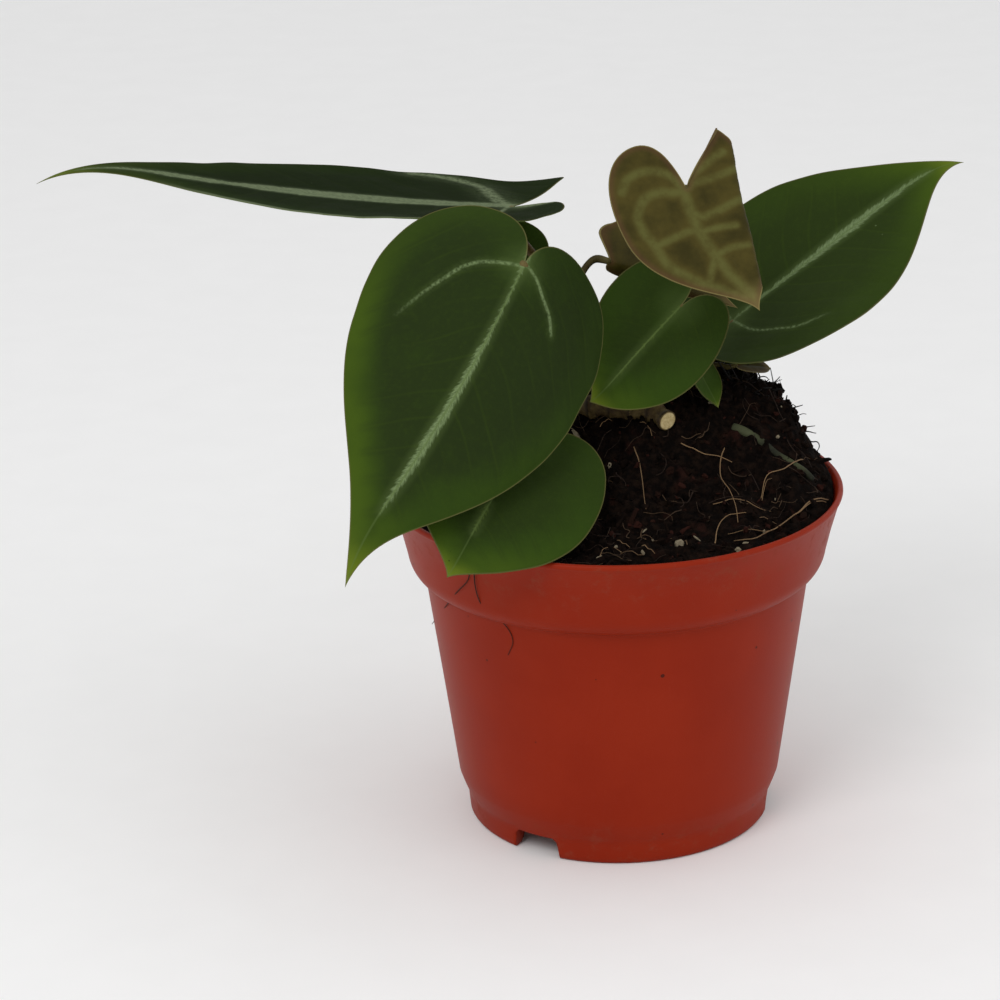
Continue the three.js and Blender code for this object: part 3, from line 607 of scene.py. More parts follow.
def blade_sheet(leaf, detail):
    """The blade's middle sheet: flat places, side, edge distance, faces, and the ids round the edge."""
    last = detail["sinus"] + detail["lobe"] + detail["side"] - 1
    first_rib = detail["sinus"] + 0.45 * detail["lobe"]
    across = detail["across"]
    rows = np.arange(last + 1)
    feet = leaf["length"] * np.maximum(0, (rows - first_rib) / (last - first_rib)) ** 1.15
    shares = np.linspace(0, 1, across + 1)
    flat, sides, rims, ids, faces = [], [], [], {}, []

    def vertex(side, row, column):
        key = (side, row, column)
        if column == 0:
            key = "stalk" if feet[row] == 0 else ("rib", row)
        if row == last:
            key = "tip"
        return key

    for side in (1, -1):
        edge = margin(leaf, side, detail)
        s = feet[:, None] + (edge[:, 0] - feet)[:, None] * shares
        t = edge[:, 1][:, None] * shares
        places = np.column_stack([s.ravel(), t.ravel()])
        rim = line_distance(places, np.vstack([[0, 0], edge]))
        for row in rows:
            for column in range(across + 1):
                key = vertex(side, row, column)
                if key not in ids:
                    ids[key] = len(flat)
                    flat.append((s[row, column], t[row, column]) if row < last else tuple(edge[-1]))
                    sides.append(side)
                    rims.append(rim[row * (across + 1) + column])
        for row in rows[:-1]:
            for column in range(across):
                corners = [(row, column), (row + 1, column), (row + 1, column + 1), (row, column + 1)]
                face = [ids[vertex(side, *corner)] for corner in corners]
                face = [v for i, v in enumerate(face) if v != face[i - 1]]
                if len(set(face)) == len(face) > 2:
                    faces.append(tuple(face) if side > 0 else tuple(face[::-1]))
    loop = [ids[vertex(1, 0, c)] for c in range(across)]
    loop += [ids[vertex(1, r, across)] for r in rows]
    loop += [ids[vertex(-1, r, across)] for r in rows[::-1][1:]]
    loop += [ids[vertex(-1, 0, c)] for c in range(across - 1, 0, -1)]
    return np.array(flat), np.array(sides), np.array(rims), faces, loop


def lateral_veins(leaf, s, t):
    """A number that is whole on each side vein.

    They leave the midrib at an angle and bend towards the tip.
    """
    spacing = 0.085 * leaf["length"] + 1.5
    reach = max(leaf["left"], leaf["right"])
    bend = s - 0.5 * np.abs(t) - 0.35 * t ** 2 / reach
    wobble = 0.22 * lattice_noise(s / 14 + 3, t / 14 + 9, 11) + np.where(t > 0, 0.5, 0)
    return bend / spacing + wobble


def add_blade(name, leaf, detail, material):
    flat, sides, rims, faces, loop = blade_sheet(leaf, detail)
    length = leaf["length"]
    s, t = flat[:, 0], flat[:, 1]
    middle = np.zeros((len(flat), 3))
    for side in (1, -1):
        chosen = sides == side
        middle[chosen] = blade_point(leaf, s[chosen], t[chosen], side)
    signed = np.where(sides > 0, t, -t)
    laterals = lateral_veins(leaf, s, signed)
    veins = np.full(len(flat), 9.0)
    for half_width, line in VEINS.get(name, []):
        distance = line_distance(np.column_stack([s, signed]), flat_curve(line)) / half_width
        veins = np.minimum(veins, distance)
    normals = point_normals(middle, faces)
    shares, widths = zip(*SILVER.get(name, NO_SILVER))
    silver = np.interp(s / length, shares, widths)
    inner = smooth_step(rims / 3) * smooth_step(t / 2)
    groove = (0.5 + 0.5 * np.cos(2 * math.pi * laterals)) ** 4 * inner
    wave = 0.35 * lattice_noise(s / 9 + 5, signed / 9, 21) * smooth_step(t / (0.7 * leaf["left"]))
    thick = EDGE_THICKNESS + (BLADE_THICKNESS - EDGE_THICKNESS) * smooth_step(rims / 2)
    relief = wave - 0.10 * groove - 0.12 * np.exp(-(t / 0.6) ** 2) - 0.06 * np.exp(-veins ** 2)
    rib = 0.5 * np.exp(-(t / 0.7) ** 2) * smooth_step((length - s) / (0.5 * length)) * (s > -0.5)
    under = 0.09 * groove + rib + 0.15 * np.exp(-veins ** 2)
    top = middle + normals * (relief + 0.5 * thick)[:, None]
    bottom = middle + normals * (wave - 0.5 * thick - under)[:, None]
    count = len(flat)
    faces = faces + [tuple(v + count for v in reversed(f)) for f in faces]
    for a, b in zip(loop, loop[1:] + loop[:1]):
        faces.append((a, a + count, b + count, b))
    piece = mesh_object(name + "_surface", np.vstack([top, bottom]), faces, material)
    attach_values(piece, "flat", np.tile(np.column_stack([s, signed, rims]), (2, 1)))
    attach_values(piece, "data", np.tile(np.column_stack([s / length, silver, laterals]), (2, 1)))
    attach_values(piece, "vein", np.tile(veins, 2))
    attach_values(piece, "upper", np.repeat([1.0, -1.0], count))
    slot = "bronze_leaf" if "bronze" in name else "green_leaf"
    return finish_piece(piece, slot, name + "_blade")


# Stalks

def stalk_path(leaf):
    """A stalk ends in the underside of its blade."""
    zero = np.zeros(1)
    here = blade_point(leaf, zero, zero, 1)[0]
    ahead = blade_point(leaf, zero + 1, zero, 1)[0] - here
    ahead /= np.linalg.norm(ahead)
    left = blade_point(leaf, zero, zero + 1, 1)[0]
    right = blade_point(leaf, zero, zero + 1, -1)[0]
    normal = np.cross(ahead, left - right)
    normal /= np.linalg.norm(normal)
    meets = math.radians(leaf.get("stalk_meets", 90))
    along = math.cos(meets) * ahead + math.sin(meets) * normal
    ridge = math.tan(math.radians(min(35, max(0, -leaf["fold_left"], -leaf["fold_right"]))))
    neck = here - along * (0.75 + (3 + ridge) * leaf["stalk_radius"])
    return smooth_path([*leaf["stalk"], neck, here - 0.2 * along], 90)


def add_stalk(name, leaf, material):
    """Thickest where it leaves the soil, with a swollen joint under the blade."""
    path = stalk_path(leaf)
    length = np.linalg.norm(np.diff(path, axis=0), axis=1).sum()
    u = np.linspace(0, 1, len(path))
    joint = 0.16 * np.exp(-(((1 - u) * length - 3.2 * leaf["stalk_radius"])
                            / (1.9 * leaf["stalk_radius"])) ** 2)
    radii = leaf["stalk_radius"] * (1.13 - 0.3 * u + joint)
    points, faces, along = tube(path, radii, 16)
    piece = mesh_object(name + "_petiole", points, faces, material)
    attach_values(piece, "along", along)
    return finish_piece(piece, "stalk", name + "_stalk")


# Materials

# The side number sets which half of each blade gets the most painted light along its margin.
LEAF_GREEN = dict(
    centre=srgb(36, 48, 19), outer=srgb(45, 64, 18), edge=srgb(62, 82, 20), tip=srgb(104, 120, 32),
    silver=srgb(116, 134, 92), vein=srgb(88, 106, 58), line=srgb(104, 98, 60), under=srgb(88, 106, 56),
    painted_light_side=-1, ior=1.35, vein_reach=0.3, painted_rim_highlight=0,
)
# The long leaf gets a painted highlight along its left margin.
LONG_GREEN = dict(LEAF_GREEN, ior=1.08, vein_reach=0.5, painted_rim_highlight=0.6,
                  centre=srgb(27, 36, 18), outer=srgb(32, 44, 19), edge=srgb(50, 62, 26),
                  silver=srgb(116, 128, 98), vein=srgb(96, 108, 80), painted_light_side=0)
RIGHT_GREEN = dict(LEAF_GREEN, painted_light_side=0, centre=srgb(39, 52, 18), outer=srgb(44, 60, 18),
                   silver=srgb(112, 130, 90), vein=srgb(88, 106, 60))
YOUNG_GREEN = dict(LEAF_GREEN, centre=srgb(38, 52, 17), outer=srgb(46, 66, 18),
                   silver=srgb(84, 102, 48), painted_light_side=0)
BRONZE_TONES = dict(
    dark=srgb(50, 45, 14), light=srgb(72, 64, 25), vein=srgb(88, 88, 44), edge=srgb(92, 62, 44),
    tip=srgb(126, 116, 70), under=srgb(92, 76, 48),
)


def surface_grain(net, depth):
    """Fine cell grain and a soft unevenness."""
    place = net.place()
    grain = net.noise(place, 0.0006, 3, 0.6)
    swell = net.noise(place, 0.007, 2)
    net.bump(net.math("ADD", net.math("MULTIPLY", grain, 0.35), swell), depth)


def green_leaf(name, tones):
    net = Net(name, Roughness=0.55, Specular_IOR_Level=0.06, IOR=tones["ior"])
    s, t, rim = net.split("flat")[:3]
    share, silver, lateral = net.split("data")[:3]
    place = net.place()
    off_rib = net.math("ABSOLUTE", t)
    cloud = net.noise(place, 0.011, 4, 0.55)
    patch = net.noise(place, 0.024, 2)
    fine = net.noise(place, 0.0016, 3, 0.7)

    # Dark in the middle and greener outwards. Near the margin, painted light in the edge tone stands in for
    # light through the thin blade; it grows towards the tip and is strongest on the side that faces the
    # light.
    uneven = net.math("MULTIPLY", net.math("SUBTRACT", cloud, 0.5), 12)
    lower = net.span(share, 0.0, 0.55, 0.35, 1.0)
    reach = net.math("MULTIPLY", net.span(net.math("ADD", rim, uneven), 13, 2), lower)
    colour = net.mix(reach, tones["centre"], tones["outer"])
    painted_edge_light = net.math("ADD", net.math("MULTIPLY", t, 0.05 * tones["painted_light_side"]),
                      net.span(share, 0.45, 0.95, -0.1, 0.75))
    painted_edge_light = net.math("MULTIPLY", net.span(painted_edge_light, -0.2, 1.0), net.span(patch, 0.3, 0.6, 0.55, 1.0))
    painted_edge_light = net.math("MULTIPLY", painted_edge_light, net.span(share, -0.1, 0.4, 0.2, 1.0))
    colour = net.mix(net.math("MULTIPLY", painted_edge_light, net.span(rim, 10, 1)), colour, tones["edge"])
    tip = net.math("MULTIPLY", net.span(share, 0.84, 1.0, 0, 0.85), net.span(rim, 7, 0.5))
    colour = net.mix(tip, colour, tones["tip"])
    colour = net.mix(net.span(cloud, 0.5, 0.8, 0, 0.3), colour, tones["outer"])
    colour = net.mix(net.span(fine, 0.45, 0.75, 0, 0.10), colour, tones["edge"])

    # Side veins, hardly paler than the blade, with painted shade in the hollow along them.
    turn = net.math("ABSOLUTE", net.math("SUBTRACT", net.math("FRACT", net.math("ADD", lateral, 0.5)), 0.5))
    away = net.math("MULTIPLY", net.span(rim, 1, 6), net.span(patch, 0.35, 0.65))
    line = net.math("MULTIPLY", net.span(turn, 0.08, 0.012), away)
    shade = net.math("MULTIPLY", net.span(turn, 0.3, 0.05), away)
    colour = net.mix(net.math("MULTIPLY", shade, 0.3), colour, tones["centre"])
    colour = net.mix(net.math("MULTIPLY", line, 0.12), colour, tones["edge"])

    # Silver along the midrib, broken and feathered outwards along the side veins, in a faint pale glow.
    aslant = net.math("SUBTRACT", s, net.math("MULTIPLY", off_rib, 1.3))
    streaks = net.point(aslant, net.math("MULTIPLY", t, 0.45))
    feather = net.noise(streaks, 1.3, 5, 0.75)
    ragged = net.math("ADD", silver, net.math("MULTIPLY", net.math("SUBTRACT", feather, 0.5), 3.4))
    shown = net.span(silver, -0.3, 0.1)
    band = net.math("MULTIPLY", net.span(net.math("SUBTRACT", off_rib, ragged), 0.35, -0.55), shown)
    flecks = net.span(net.noise(streaks, 0.45, 4, 0.85), 0.36, 0.6, 0.3, 0.95)
    glow = net.math("MULTIPLY", net.span(net.math("SUBTRACT", off_rib, silver), 2.2, 0.0, 0, 0.22), shown)
    colour = net.mix(glow, colour, tones["vein"])
    colour = net.mix(net.math("MULTIPLY", band, flecks), colour, tones["silver"])
    rib = net.math("MULTIPLY", net.span(off_rib, 0.3, 0.1), net.span(silver, -0.4, 0.3, 0.3, 0.55))
    colour = net.mix(rib, colour, tones["vein"])

    # Basal veins, their own soft glow, the pale line of the margin, and a painted highlight along the left
    # margin of the long leaf.
    vein = net.attribute("vein").outputs["Fac"]
    reach = net.span(share, tones["vein_reach"], 0.33 * tones["vein_reach"])
    fade = net.math("MULTIPLY", reach, net.span(net.noise(place, 0.0013, 3, 0.8), 0.35, 0.6, 0.3, 1))
    colour = net.mix(net.math("MULTIPLY", net.span(vein, 4.5, 0.5, 0, 0.22), fade), colour, tones["vein"])
    colour = net.mix(net.math("MULTIPLY", net.span(vein, 1.5, 0.2, 0, 0.8), fade), colour, tones["silver"])
    near = net.math("SQRT", net.math("ADD", net.math("MULTIPLY", s, s), net.math("MULTIPLY", t, t)))
    colour = net.mix(net.span(near, 9, 1, 0, 0.2), colour, tones["vein"])
    colour = net.mix(net.span(rim, 0.40, 0.12, 0, 0.6), colour, tones["line"])
    # A painted highlight: a pale band in the silver tone along the left margin, midway along the blade.
    pale = net.math("MULTIPLY", net.span(rim, 2.6, 0.5, 0, tones["painted_rim_highlight"]), net.span(t, 0, 4))
    pale = net.math("MULTIPLY", pale,
                    net.math("MULTIPLY", net.span(share, 0.15, 0.3), net.span(share, 0.8, 0.6)))
    colour = net.mix(pale, colour, tones["silver"])

    # A few specks of dust and, towards the tip, dark ones.
    dots = net.cells(place, 0.0075)
    sparse = net.span(net.noise(place, 0.02, 1), 0.5, 0.7, 0, 0.03)
    colour = net.mix(net.math("MULTIPLY", net.math("LESS_THAN", dots, sparse), 0.5), colour, tones["silver"])
    low = net.span(share, 0.7, 0.95, 0, 0.075)
    dark_dots = net.cells(net.math_vector(place, (0.013, 0.007, 0.011)), 0.0042)
    colour = net.mix(net.math("MULTIPLY", net.math("LESS_THAN", dark_dots, low), 0.75),
                     colour, srgb(26, 26, 12))

    under = net.mix(net.span(cloud, 0.3, 0.7, 0, 0.3), tones["under"], tones["edge"])
    under = net.mix(net.math("MULTIPLY", line, 0.4), under, tones["vein"])
    upper = net.math("GREATER_THAN", net.attribute("upper").outputs["Fac"], 0.0)
    net.set(Base_Color=net.mix(upper, under, colour))
    net.set(Roughness=net.math("ADD", 0.5, net.math("MULTIPLY", cloud, 0.12)))
    surface_grain(net, 0.00014)
    return net.material


def bronze_leaf(name, tones):
    """Young leaves, bronze between broad pale veins, with a pinkish edge."""
    net = Net(name, Roughness=0.5, Specular_IOR_Level=0.08)
    rim = net.split("flat")[2]
    share = net.split("data")[0]
    place = net.place()
    cloud = net.noise(place, 0.008, 4, 0.6)
    fine = net.noise(place, 0.0014, 3, 0.7)
    vein = net.attribute("vein").outputs["Fac"]
    soft = net.math("ADD", vein, net.math("MULTIPLY", net.math("SUBTRACT", fine, 0.5), 0.5))
    colour = net.mix(net.span(cloud, 0.3, 0.75), tones["dark"], tones["light"])
    colour = net.mix(net.span(soft, 2.8, 0.8, 0, 0.6), colour, tones["light"])
    fade = net.span(net.noise(place, 0.004, 3, 0.7), 0.3, 0.6, 0.45, 1.0)
    colour = net.mix(net.math("MULTIPLY", net.span(soft, 1.9, 0.1, 0, 0.8), fade), colour, tones["vein"])
    colour = net.mix(net.span(share, 0.75, 1.0, 0, 0.6), colour, tones["tip"])
    colour = net.mix(net.span(rim, 2.2, 0.3, 0, 0.4), colour, tones["edge"])
    colour = net.mix(net.span(rim, 0.35, 0.12, 0, 0.8), colour, tones["tip"])
    under = net.mix(net.span(soft, 1.6, 0.5, 0, 0.5), tones["under"], tones["vein"])
    upper = net.math("GREATER_THAN", net.attribute("upper").outputs["Fac"], 0.0)
    net.set(Base_Color=net.mix(upper, under, colour))
    net.set(Roughness=net.math("ADD", 0.4, net.math("MULTIPLY", cloud, 0.12)))
    surface_grain(net, 0.0001)
    return net.material


def stalk_skin(name, low, high, joint):
    """Long fibres and freckles, with the joint under the blade in its own tone."""
    net = Net(name, Roughness=0.5, Specular_IOR_Level=0.12)
    along = net.attribute("along").outputs["Fac"]
    place = net.place()
    stretched = net.node("Mapping", {"Vector": place, "Scale": (1, 1, 0.12)}).outputs[0]
    fibres = net.noise(stretched, 0.0007, 4, 0.7)
    mottle = net.noise(place, 0.0035, 4, 0.65)
    colour = net.mix(net.math("ADD", along, net.math("MULTIPLY", net.math("SUBTRACT", mottle, 0.5), 0.8)),
                     low, high)
    colour = net.mix(net.span(fibres, 0.45, 0.75, 0, 0.4), colour, joint)
    colour = net.mix(net.span(along, 0.93, 0.985, 0, 0.5), colour, joint)
    net.set(Base_Color=colour)
    net.bump(fibres, 0.0001)
    return net.material


def pot_plastic():
    """Thin moulded satin plastic, paler with dried soil near the rim and the foot, with specks and scuffs."""
    net = Net("terracotta_plastic", Roughness=0.4, Specular_IOR_Level=0.2, IOR=1.3)
    place = net.place()
    height = net.node("SeparateXYZ", {0: place}).outputs[2]
    cloud = net.noise(place, 0.028, 3)
    grain = net.noise(place, 0.00035, 2, 0.6)
    colour = net.mix(net.span(cloud, 0.3, 0.7), srgb(132, 33, 9), srgb(138, 37, 12))
    stretched = net.node("Mapping", {"Vector": place, "Scale": (1, 1, 0.05)}).outputs[0]
    scuffs = net.span(net.noise(stretched, 0.0011, 5, 0.8), 0.62, 0.8, 0, 0.16)
    colour = net.mix(scuffs, colour, srgb(176, 96, 70))
    dust_noise = net.noise(place, 0.005, 6, 0.75)
    near_rim = net.span(height, 0.070, 0.090)
    near_foot = net.span(height, 0.016, 0.002)
    dust = net.math("MULTIPLY", net.math("MAXIMUM", near_rim, near_foot),
                    net.span(dust_noise, 0.5, 0.75, 0, 0.35))
    colour = net.mix(dust, colour, srgb(120, 84, 66))
    specks = net.cells(place, 0.007)
    size = net.span(net.noise(place, 0.012, 1), 0.42, 0.72, 0.0, 0.085)
    spot = net.math("LESS_THAN", specks, size)
    colour = net.mix(net.math("MULTIPLY", spot, 0.8), colour, srgb(44, 22, 14))
    net.set(Base_Color=colour)
    net.set(Roughness=net.math("ADD", 0.38, net.math("ADD", net.math("MULTIPLY", cloud, 0.08), dust)))
    net.bump(grain, 0.00004)
    return net.material


def soil_matter(name, dark, brown, red, pale, bits):
    """Peat: near black, brown and reddish pieces, and a few pale grains."""
    net = Net(name, Roughness=0.95, Specular_IOR_Level=0.04)
    place = net.place()
    tone = net.attribute("tone").outputs["Fac"]
    lumps = net.noise(place, 0.0022, 5, 0.7)
    colour = net.mix(net.span(lumps, 0.4, 0.7), dark, brown)
    patches = net.noise(place, 0.006, 4, 0.6)
    colour = net.mix(net.span(patches, 0.55, 0.75, 0, 0.6), colour, red)
    colour = net.mix(net.math("MULTIPLY", net.span(tone, 0.55, 0.95), bits), colour, brown)
    colour = net.mix(net.math("MULTIPLY", net.span(tone, 0.80, 0.90), bits), colour, red)
    colour = net.mix(net.math("MULTIPLY", net.math("GREATER_THAN", tone, 0.965), bits), colour, pale)
    net.set(Base_Color=colour)
    net.bump(net.noise(place, 0.0006, 4, 0.7), 0.0003)
    return net.material


def fibre_skin(name, dark, pale):
    net = Net(name, Roughness=0.75, Specular_IOR_Level=0.2)
    tone = net.attribute("tone").outputs["Fac"]
    streaks = net.noise(net.place(), 0.0012, 4, 0.7)
    share = net.math("ADD", tone, net.math("MULTIPLY", net.math("SUBTRACT", streaks, 0.5), 0.6))
    net.set(Base_Color=net.mix(share, dark, pale))
    net.bump(streaks, 0.0001)
    return net.material


def rhizome_bark():
    """Brown bark with darker rings, and the cream cut face at the end that points to the front."""
    net = Net("rhizome_bark", Roughness=0.7, Specular_IOR_Level=0.25)
    along = net.attribute("along").outputs["Fac"]
    cut = net.attribute("cut").outputs["Fac"]
    place = net.place()
    wave = net.noise(place, 0.003, 4, 0.7)
    rings = net.math("FRACT", net.math("ADD", net.math("MULTIPLY", along, RHIZOME_RINGS),
                                       net.math("MULTIPLY", wave, 0.3)))
    colour = net.mix(net.span(wave, 0.3, 0.7), srgb(58, 42, 22), srgb(94, 78, 42))
    colour = net.mix(net.span(rings, 0.75, 1.0, 0, 0.8), colour, srgb(30, 20, 12))
    grain = net.noise(place, 0.0009, 4, 0.8)
    face = net.mix(net.span(grain, 0.35, 0.7), srgb(206, 188, 140), srgb(172, 148, 96))
    net.set(Base_Color=net.mix(cut, colour, face))
    net.bump(net.math("ADD", wave, net.math("MULTIPLY", grain, 0.4)), 0.0005)
    return net.material


def floor_paint():
    net = Net("pale_floor", Roughness=0.8, Specular_IOR_Level=0.1)
    grain = net.noise(net.place(), 0.02, 2)
    net.set(Base_Color=net.mix(grain, (0.9, 0.9, 0.9, 1), (0.93, 0.93, 0.93, 1)))
    return net.material


# Pot

def quadratic(start, control, end, count):
    u = np.linspace(0, 1, count + 1)[1:, None]
    start, control, end = np.asarray((start, control, end), float)
    return (1 - u) ** 2 * start + 2 * (1 - u) * u * control + u ** 2 * end


def pot_inside():
    """The inside of the wall from the rim down to the recess over the middle pad."""
    return [
        (COLLAR_MIDDLE[0] - WALL, COLLAR_MIDDLE[1]),
        (COLLAR_FOOT_RADIUS - WALL, COLLAR_FOOT_Z),
        (53.2 - WALL, 70.6),
        (LEDGE_RADIUS - WALL, LEDGE_Z - 0.2),
        (HEEL_RADIUS - WALL, HEEL_Z + 0.4),
        (FOOT_RADIUS - WALL, FOOT_TOP_Z + 1.6),
        (PAD_RADIUS + 2.6, FOOT_TOP_Z + FLOOR),
        (PAD_RADIUS + 1.1, FLOOR),
    ]


def pot_section():
    inner_foot = FOOT_RADIUS - FOOT_THICKNESS
    points = [(0, 0), (PAD_RADIUS, 0), (PAD_RADIUS + 1.5, FOOT_TOP_Z), (inner_foot - 0.5, FOOT_TOP_Z)]
    points += [(inner_foot, u) for u in np.linspace(FOOT_TOP_Z - 0.4, 0, 6)]
    points += [(FOOT_RADIUS - 0.4, 0), (FOOT_RADIUS, 0.5)]
    points += [(FOOT_RADIUS + 0.5 * u, 0.5 + (FOOT_TOP_Z - 0.5) * u) for u in np.linspace(0.2, 1, 5)]
    points += list(quadratic(points[-1], (HEEL_RADIUS - 1, HEEL_Z - 3), (HEEL_RADIUS, HEEL_Z), 6))
    points += [(HEEL_RADIUS + (LEDGE_RADIUS - HEEL_RADIUS) * u, HEEL_Z + (LEDGE_Z - HEEL_Z) * u)
               for u in np.linspace(0.05, 0.99, 14)]
    points += [(LEDGE_RADIUS, LEDGE_Z), (LEDGE_RADIUS + 0.25, LEDGE_Z + 0.12)]
    points += list(quadratic(points[-1], (COLLAR_FOOT_RADIUS - 0.6, LEDGE_Z + 1.4),
                             (COLLAR_FOOT_RADIUS, COLLAR_FOOT_Z), 10))
    points += [COLLAR_MIDDLE, (RIM_RADIUS - 0.8, POT_HEIGHT - 1.8)]
    points += list(quadratic(points[-1], (RIM_RADIUS + 0.3, POT_HEIGHT - 0.9),
                             (RIM_RADIUS - 0.6, POT_HEIGHT), 6))
    points += [(RIM_RADIUS - 1.2, POT_HEIGHT + 0.02), (RIM_RADIUS - 1.7, POT_HEIGHT - 0.3)]
    points += pot_inside() + [(0, FLOOR)]
    return np.array(points, float)


def around(angle):
    """The direction at that many degrees from the front, towards +X."""
    return np.array((math.sin(math.radians(angle)), -math.cos(math.radians(angle))))


def notch_lift(radius, phi):
    """How high the foot ring is cut away at each point."""
    lift = np.zeros_like(phi)
    for angle in NOTCH_ANGLES:
        off = np.abs((phi - math.radians(angle) + math.pi) % (2 * math.pi) - math.pi) * radius
        lift = np.maximum(lift, NOTCH_HEIGHT * smooth_step((NOTCH_WIDTH / 2 - off) / NOTCH_ROUNDING))
    return lift


def lathe(section, segments):
    """Points and faces of a closed turned body whose section starts and ends on the axis."""
    phi = np.linspace(0, 2 * math.pi, segments, endpoint=False)
    points, faces = [(0, 0, section[0, 1])], []
    for radius, z in section[1:-1]:
        points.extend(np.column_stack([radius * np.sin(phi), -radius * np.cos(phi), np.full(segments, z)]))
    points.append((0, 0, section[-1, 1]))
    rows = len(section) - 2
    for i in range(segments):
        j = (i + 1) % segments
        faces.append((0, 1 + j, 1 + i))
        for row in range(rows - 1):
            low, high = 1 + row * segments, 1 + (row + 1) * segments
            faces.append((low + i, low + j, high + j, high + i))
        top = 1 + (rows - 1) * segments
        faces.append((top + i, top + j, len(points) - 1))
    return np.array(points, float), faces


def cut_drains(pot):
    """The drain holes through the raised floor, cut with plain cylinders that are then removed."""
    parts = []
    for k in range(DRAIN_COUNT):
        centre = DRAIN_CIRCLE_RADIUS * around(k * 360 / DRAIN_COUNT)
        path = [(centre[0], centre[1], z) for z in (FOOT_TOP_Z - 2, FOOT_TOP_Z + 4)]
        parts.append(tube(path, DRAIN_RADIUS, 28))
    points, faces, _ = joined(parts)
    cutter = mesh_object("drain_cutter", points, faces, pot.data.materials[0])
    modifier = pot.modifiers.new("drains", "BOOLEAN")
    modifier.object = cutter
    modifier.operation = "DIFFERENCE"
    modifier.solver = "EXACT"
    evaluated = pot.evaluated_get(bpy.context.evaluated_depsgraph_get())
    pot.data = bpy.data.meshes.new_from_object(evaluated)
    pot.modifiers.clear()
    bpy.data.objects.remove(cutter)


def add_pot(material):
    points, faces = lathe(pot_section(), POT_SEGMENTS)
    radius = np.hypot(points[:, 0], points[:, 1])
    phi = np.arctan2(points[:, 0], -points[:, 1])
    in_ring = (radius > FOOT_RADIUS - FOOT_THICKNESS - 0.1) & (points[:, 2] < FOOT_TOP_Z)
    lift = np.where(in_ring & (radius < HEEL_RADIUS), notch_lift(radius, phi), 0)
    points[:, 2] = np.maximum(points[:, 2], lift)
    # The wall of a thin moulded pot is never quite round.
    out = 0.12 * np.sin(2 * phi + 0.7) + 0.05 * np.sin(5 * phi)
    swell = 1 + out * smooth_step(points[:, 2] / 40) / np.maximum(radius, 1) * (radius > 20)
    points[:, :2] *= swell[:, None]
    pot = mesh_object("moulded_pot", points, faces, material)
    cut_drains(pot)
    return finish_piece(pot, "pot_plastic", "pot")


# Soil

def add_soil(material):
    lip = np.array((RIM_RADIUS - 1.7, POT_HEIGHT - 0.3))
    slope = (lip[0] - COLLAR_MIDDLE[0] + WALL) / (lip[1] - COLLAR_MIDDLE[1])
    edge = lip[0] - GAP - (POT_HEIGHT - SOIL_EDGE_Z) * slope
    phi = np.linspace(0, 2 * math.pi, SOIL_SEGMENTS, endpoint=False)
    radii = edge * np.linspace(0, 1, SOIL_RINGS + 1)[1:] ** 0.85
    x = radii[:, None] * np.sin(phi)
    y = -radii[:, None] * np.cos(phi)
    z = fine_soil_height(x, y)
    points = [np.array([[0, 0, float(fine_soil_height(0, 0))]]),
              np.column_stack([x.ravel(), y.ravel(), z.ravel()])]
    for radius, level in pot_inside():
        inner = radius - GAP
        ring = np.column_stack([inner * np.sin(phi), -inner * np.cos(phi),
                                np.full(SOIL_SEGMENTS, level + GAP)])
        points.append(ring)
    points = np.vstack(points)
    rings = (len(points) - 1) // SOIL_SEGMENTS
    faces = []
    for i in range(SOIL_SEGMENTS):
        j = (i + 1) % SOIL_SEGMENTS
        faces.append((0, 1 + i, 1 + j))
        for ring in range(rings - 1):
            near, far = 1 + ring * SOIL_SEGMENTS, 1 + (ring + 1) * SOIL_SEGMENTS
            faces.append((near + i, far + i, far + j, near + j))
    last = 1 + (rings - 1) * SOIL_SEGMENTS
    faces.append([last + i for i in range(SOIL_SEGMENTS)][::-1])
    soil = mesh_object("peat_surface", points, faces, material)
    attach_values(soil, "tone", np.zeros(len(points)))
    return finish_piece(soil, "soil", "soil")


def lump(generator, centre, size, squash):
    """A small uneven grain: an icosphere pushed about, stretched and turned."""
    points = BALL_POINTS * (1 + generator.uniform(-0.28, 0.28, (len(BALL_POINTS), 1)))
    points = points * size * squash
    turn = np.linalg.qr(generator.normal(size=(3, 3)))[0]
    return points @ turn + centre, BALL_FACES


def icosphere():
    bpy.ops.mesh.primitive_ico_sphere_add(subdivisions=2, radius=1)
    ball = bpy.context.object
    points = np.array([v.co for v in ball.data.vertices])
    faces = [tuple(p.vertices) for p in ball.data.polygons]
    bpy.data.objects.remove(ball)
    return points, faces


def spot_on_soil(generator):
    while True:
        x, y = generator.uniform(-57, 57, 2)
        if math.hypot(x, y) < 56.3:
            return x, y


def add_crumbs(material):
    """Loose grains of peat and bark lying on the soil, with a few white grains."""
    generator = np.random.default_rng(SEED)
    parts = []
    for k in range(1500):
        x, y = spot_on_soil(generator)
        size = 0.35 + 1.15 * generator.random() ** 3
        squash = np.array((1, generator.uniform(0.45, 0.9), generator.uniform(0.35, 0.8)))
        if k % 5 == 0:
            squash = np.array((generator.uniform(1.6, 2.8), 0.55, 0.35))
        z = float(fine_soil_height(x, y)) + 0.25 * size
        points, faces = lump(generator, (x, y, z), size, squash)
        parts.append((points, faces, np.full(len(points), generator.random())))
    for k in range(110):
        x = generator.uniform(12, 53)
        y = generator.uniform(8, 42)
        if math.hypot(x, y) > 54:
            continue
        size = generator.uniform(0.8, 2.1)
        squash = np.array((1, generator.uniform(0.6, 0.9), generator.uniform(0.6, 0.9)))
        z = float(fine_soil_height(x, y)) + 0.2 * size
        points, faces = lump(generator, (x, y, z), size, squash)
        parts.append((points, faces, np.full(len(points), 0.4 * generator.random())))
    points, faces, tone = joined(parts)
    crumbs = mesh_object("peat_crumbs", points, faces, material, smooth=False)
    attach_values(crumbs, "tone", tone)
    return finish_piece(crumbs, "soil")


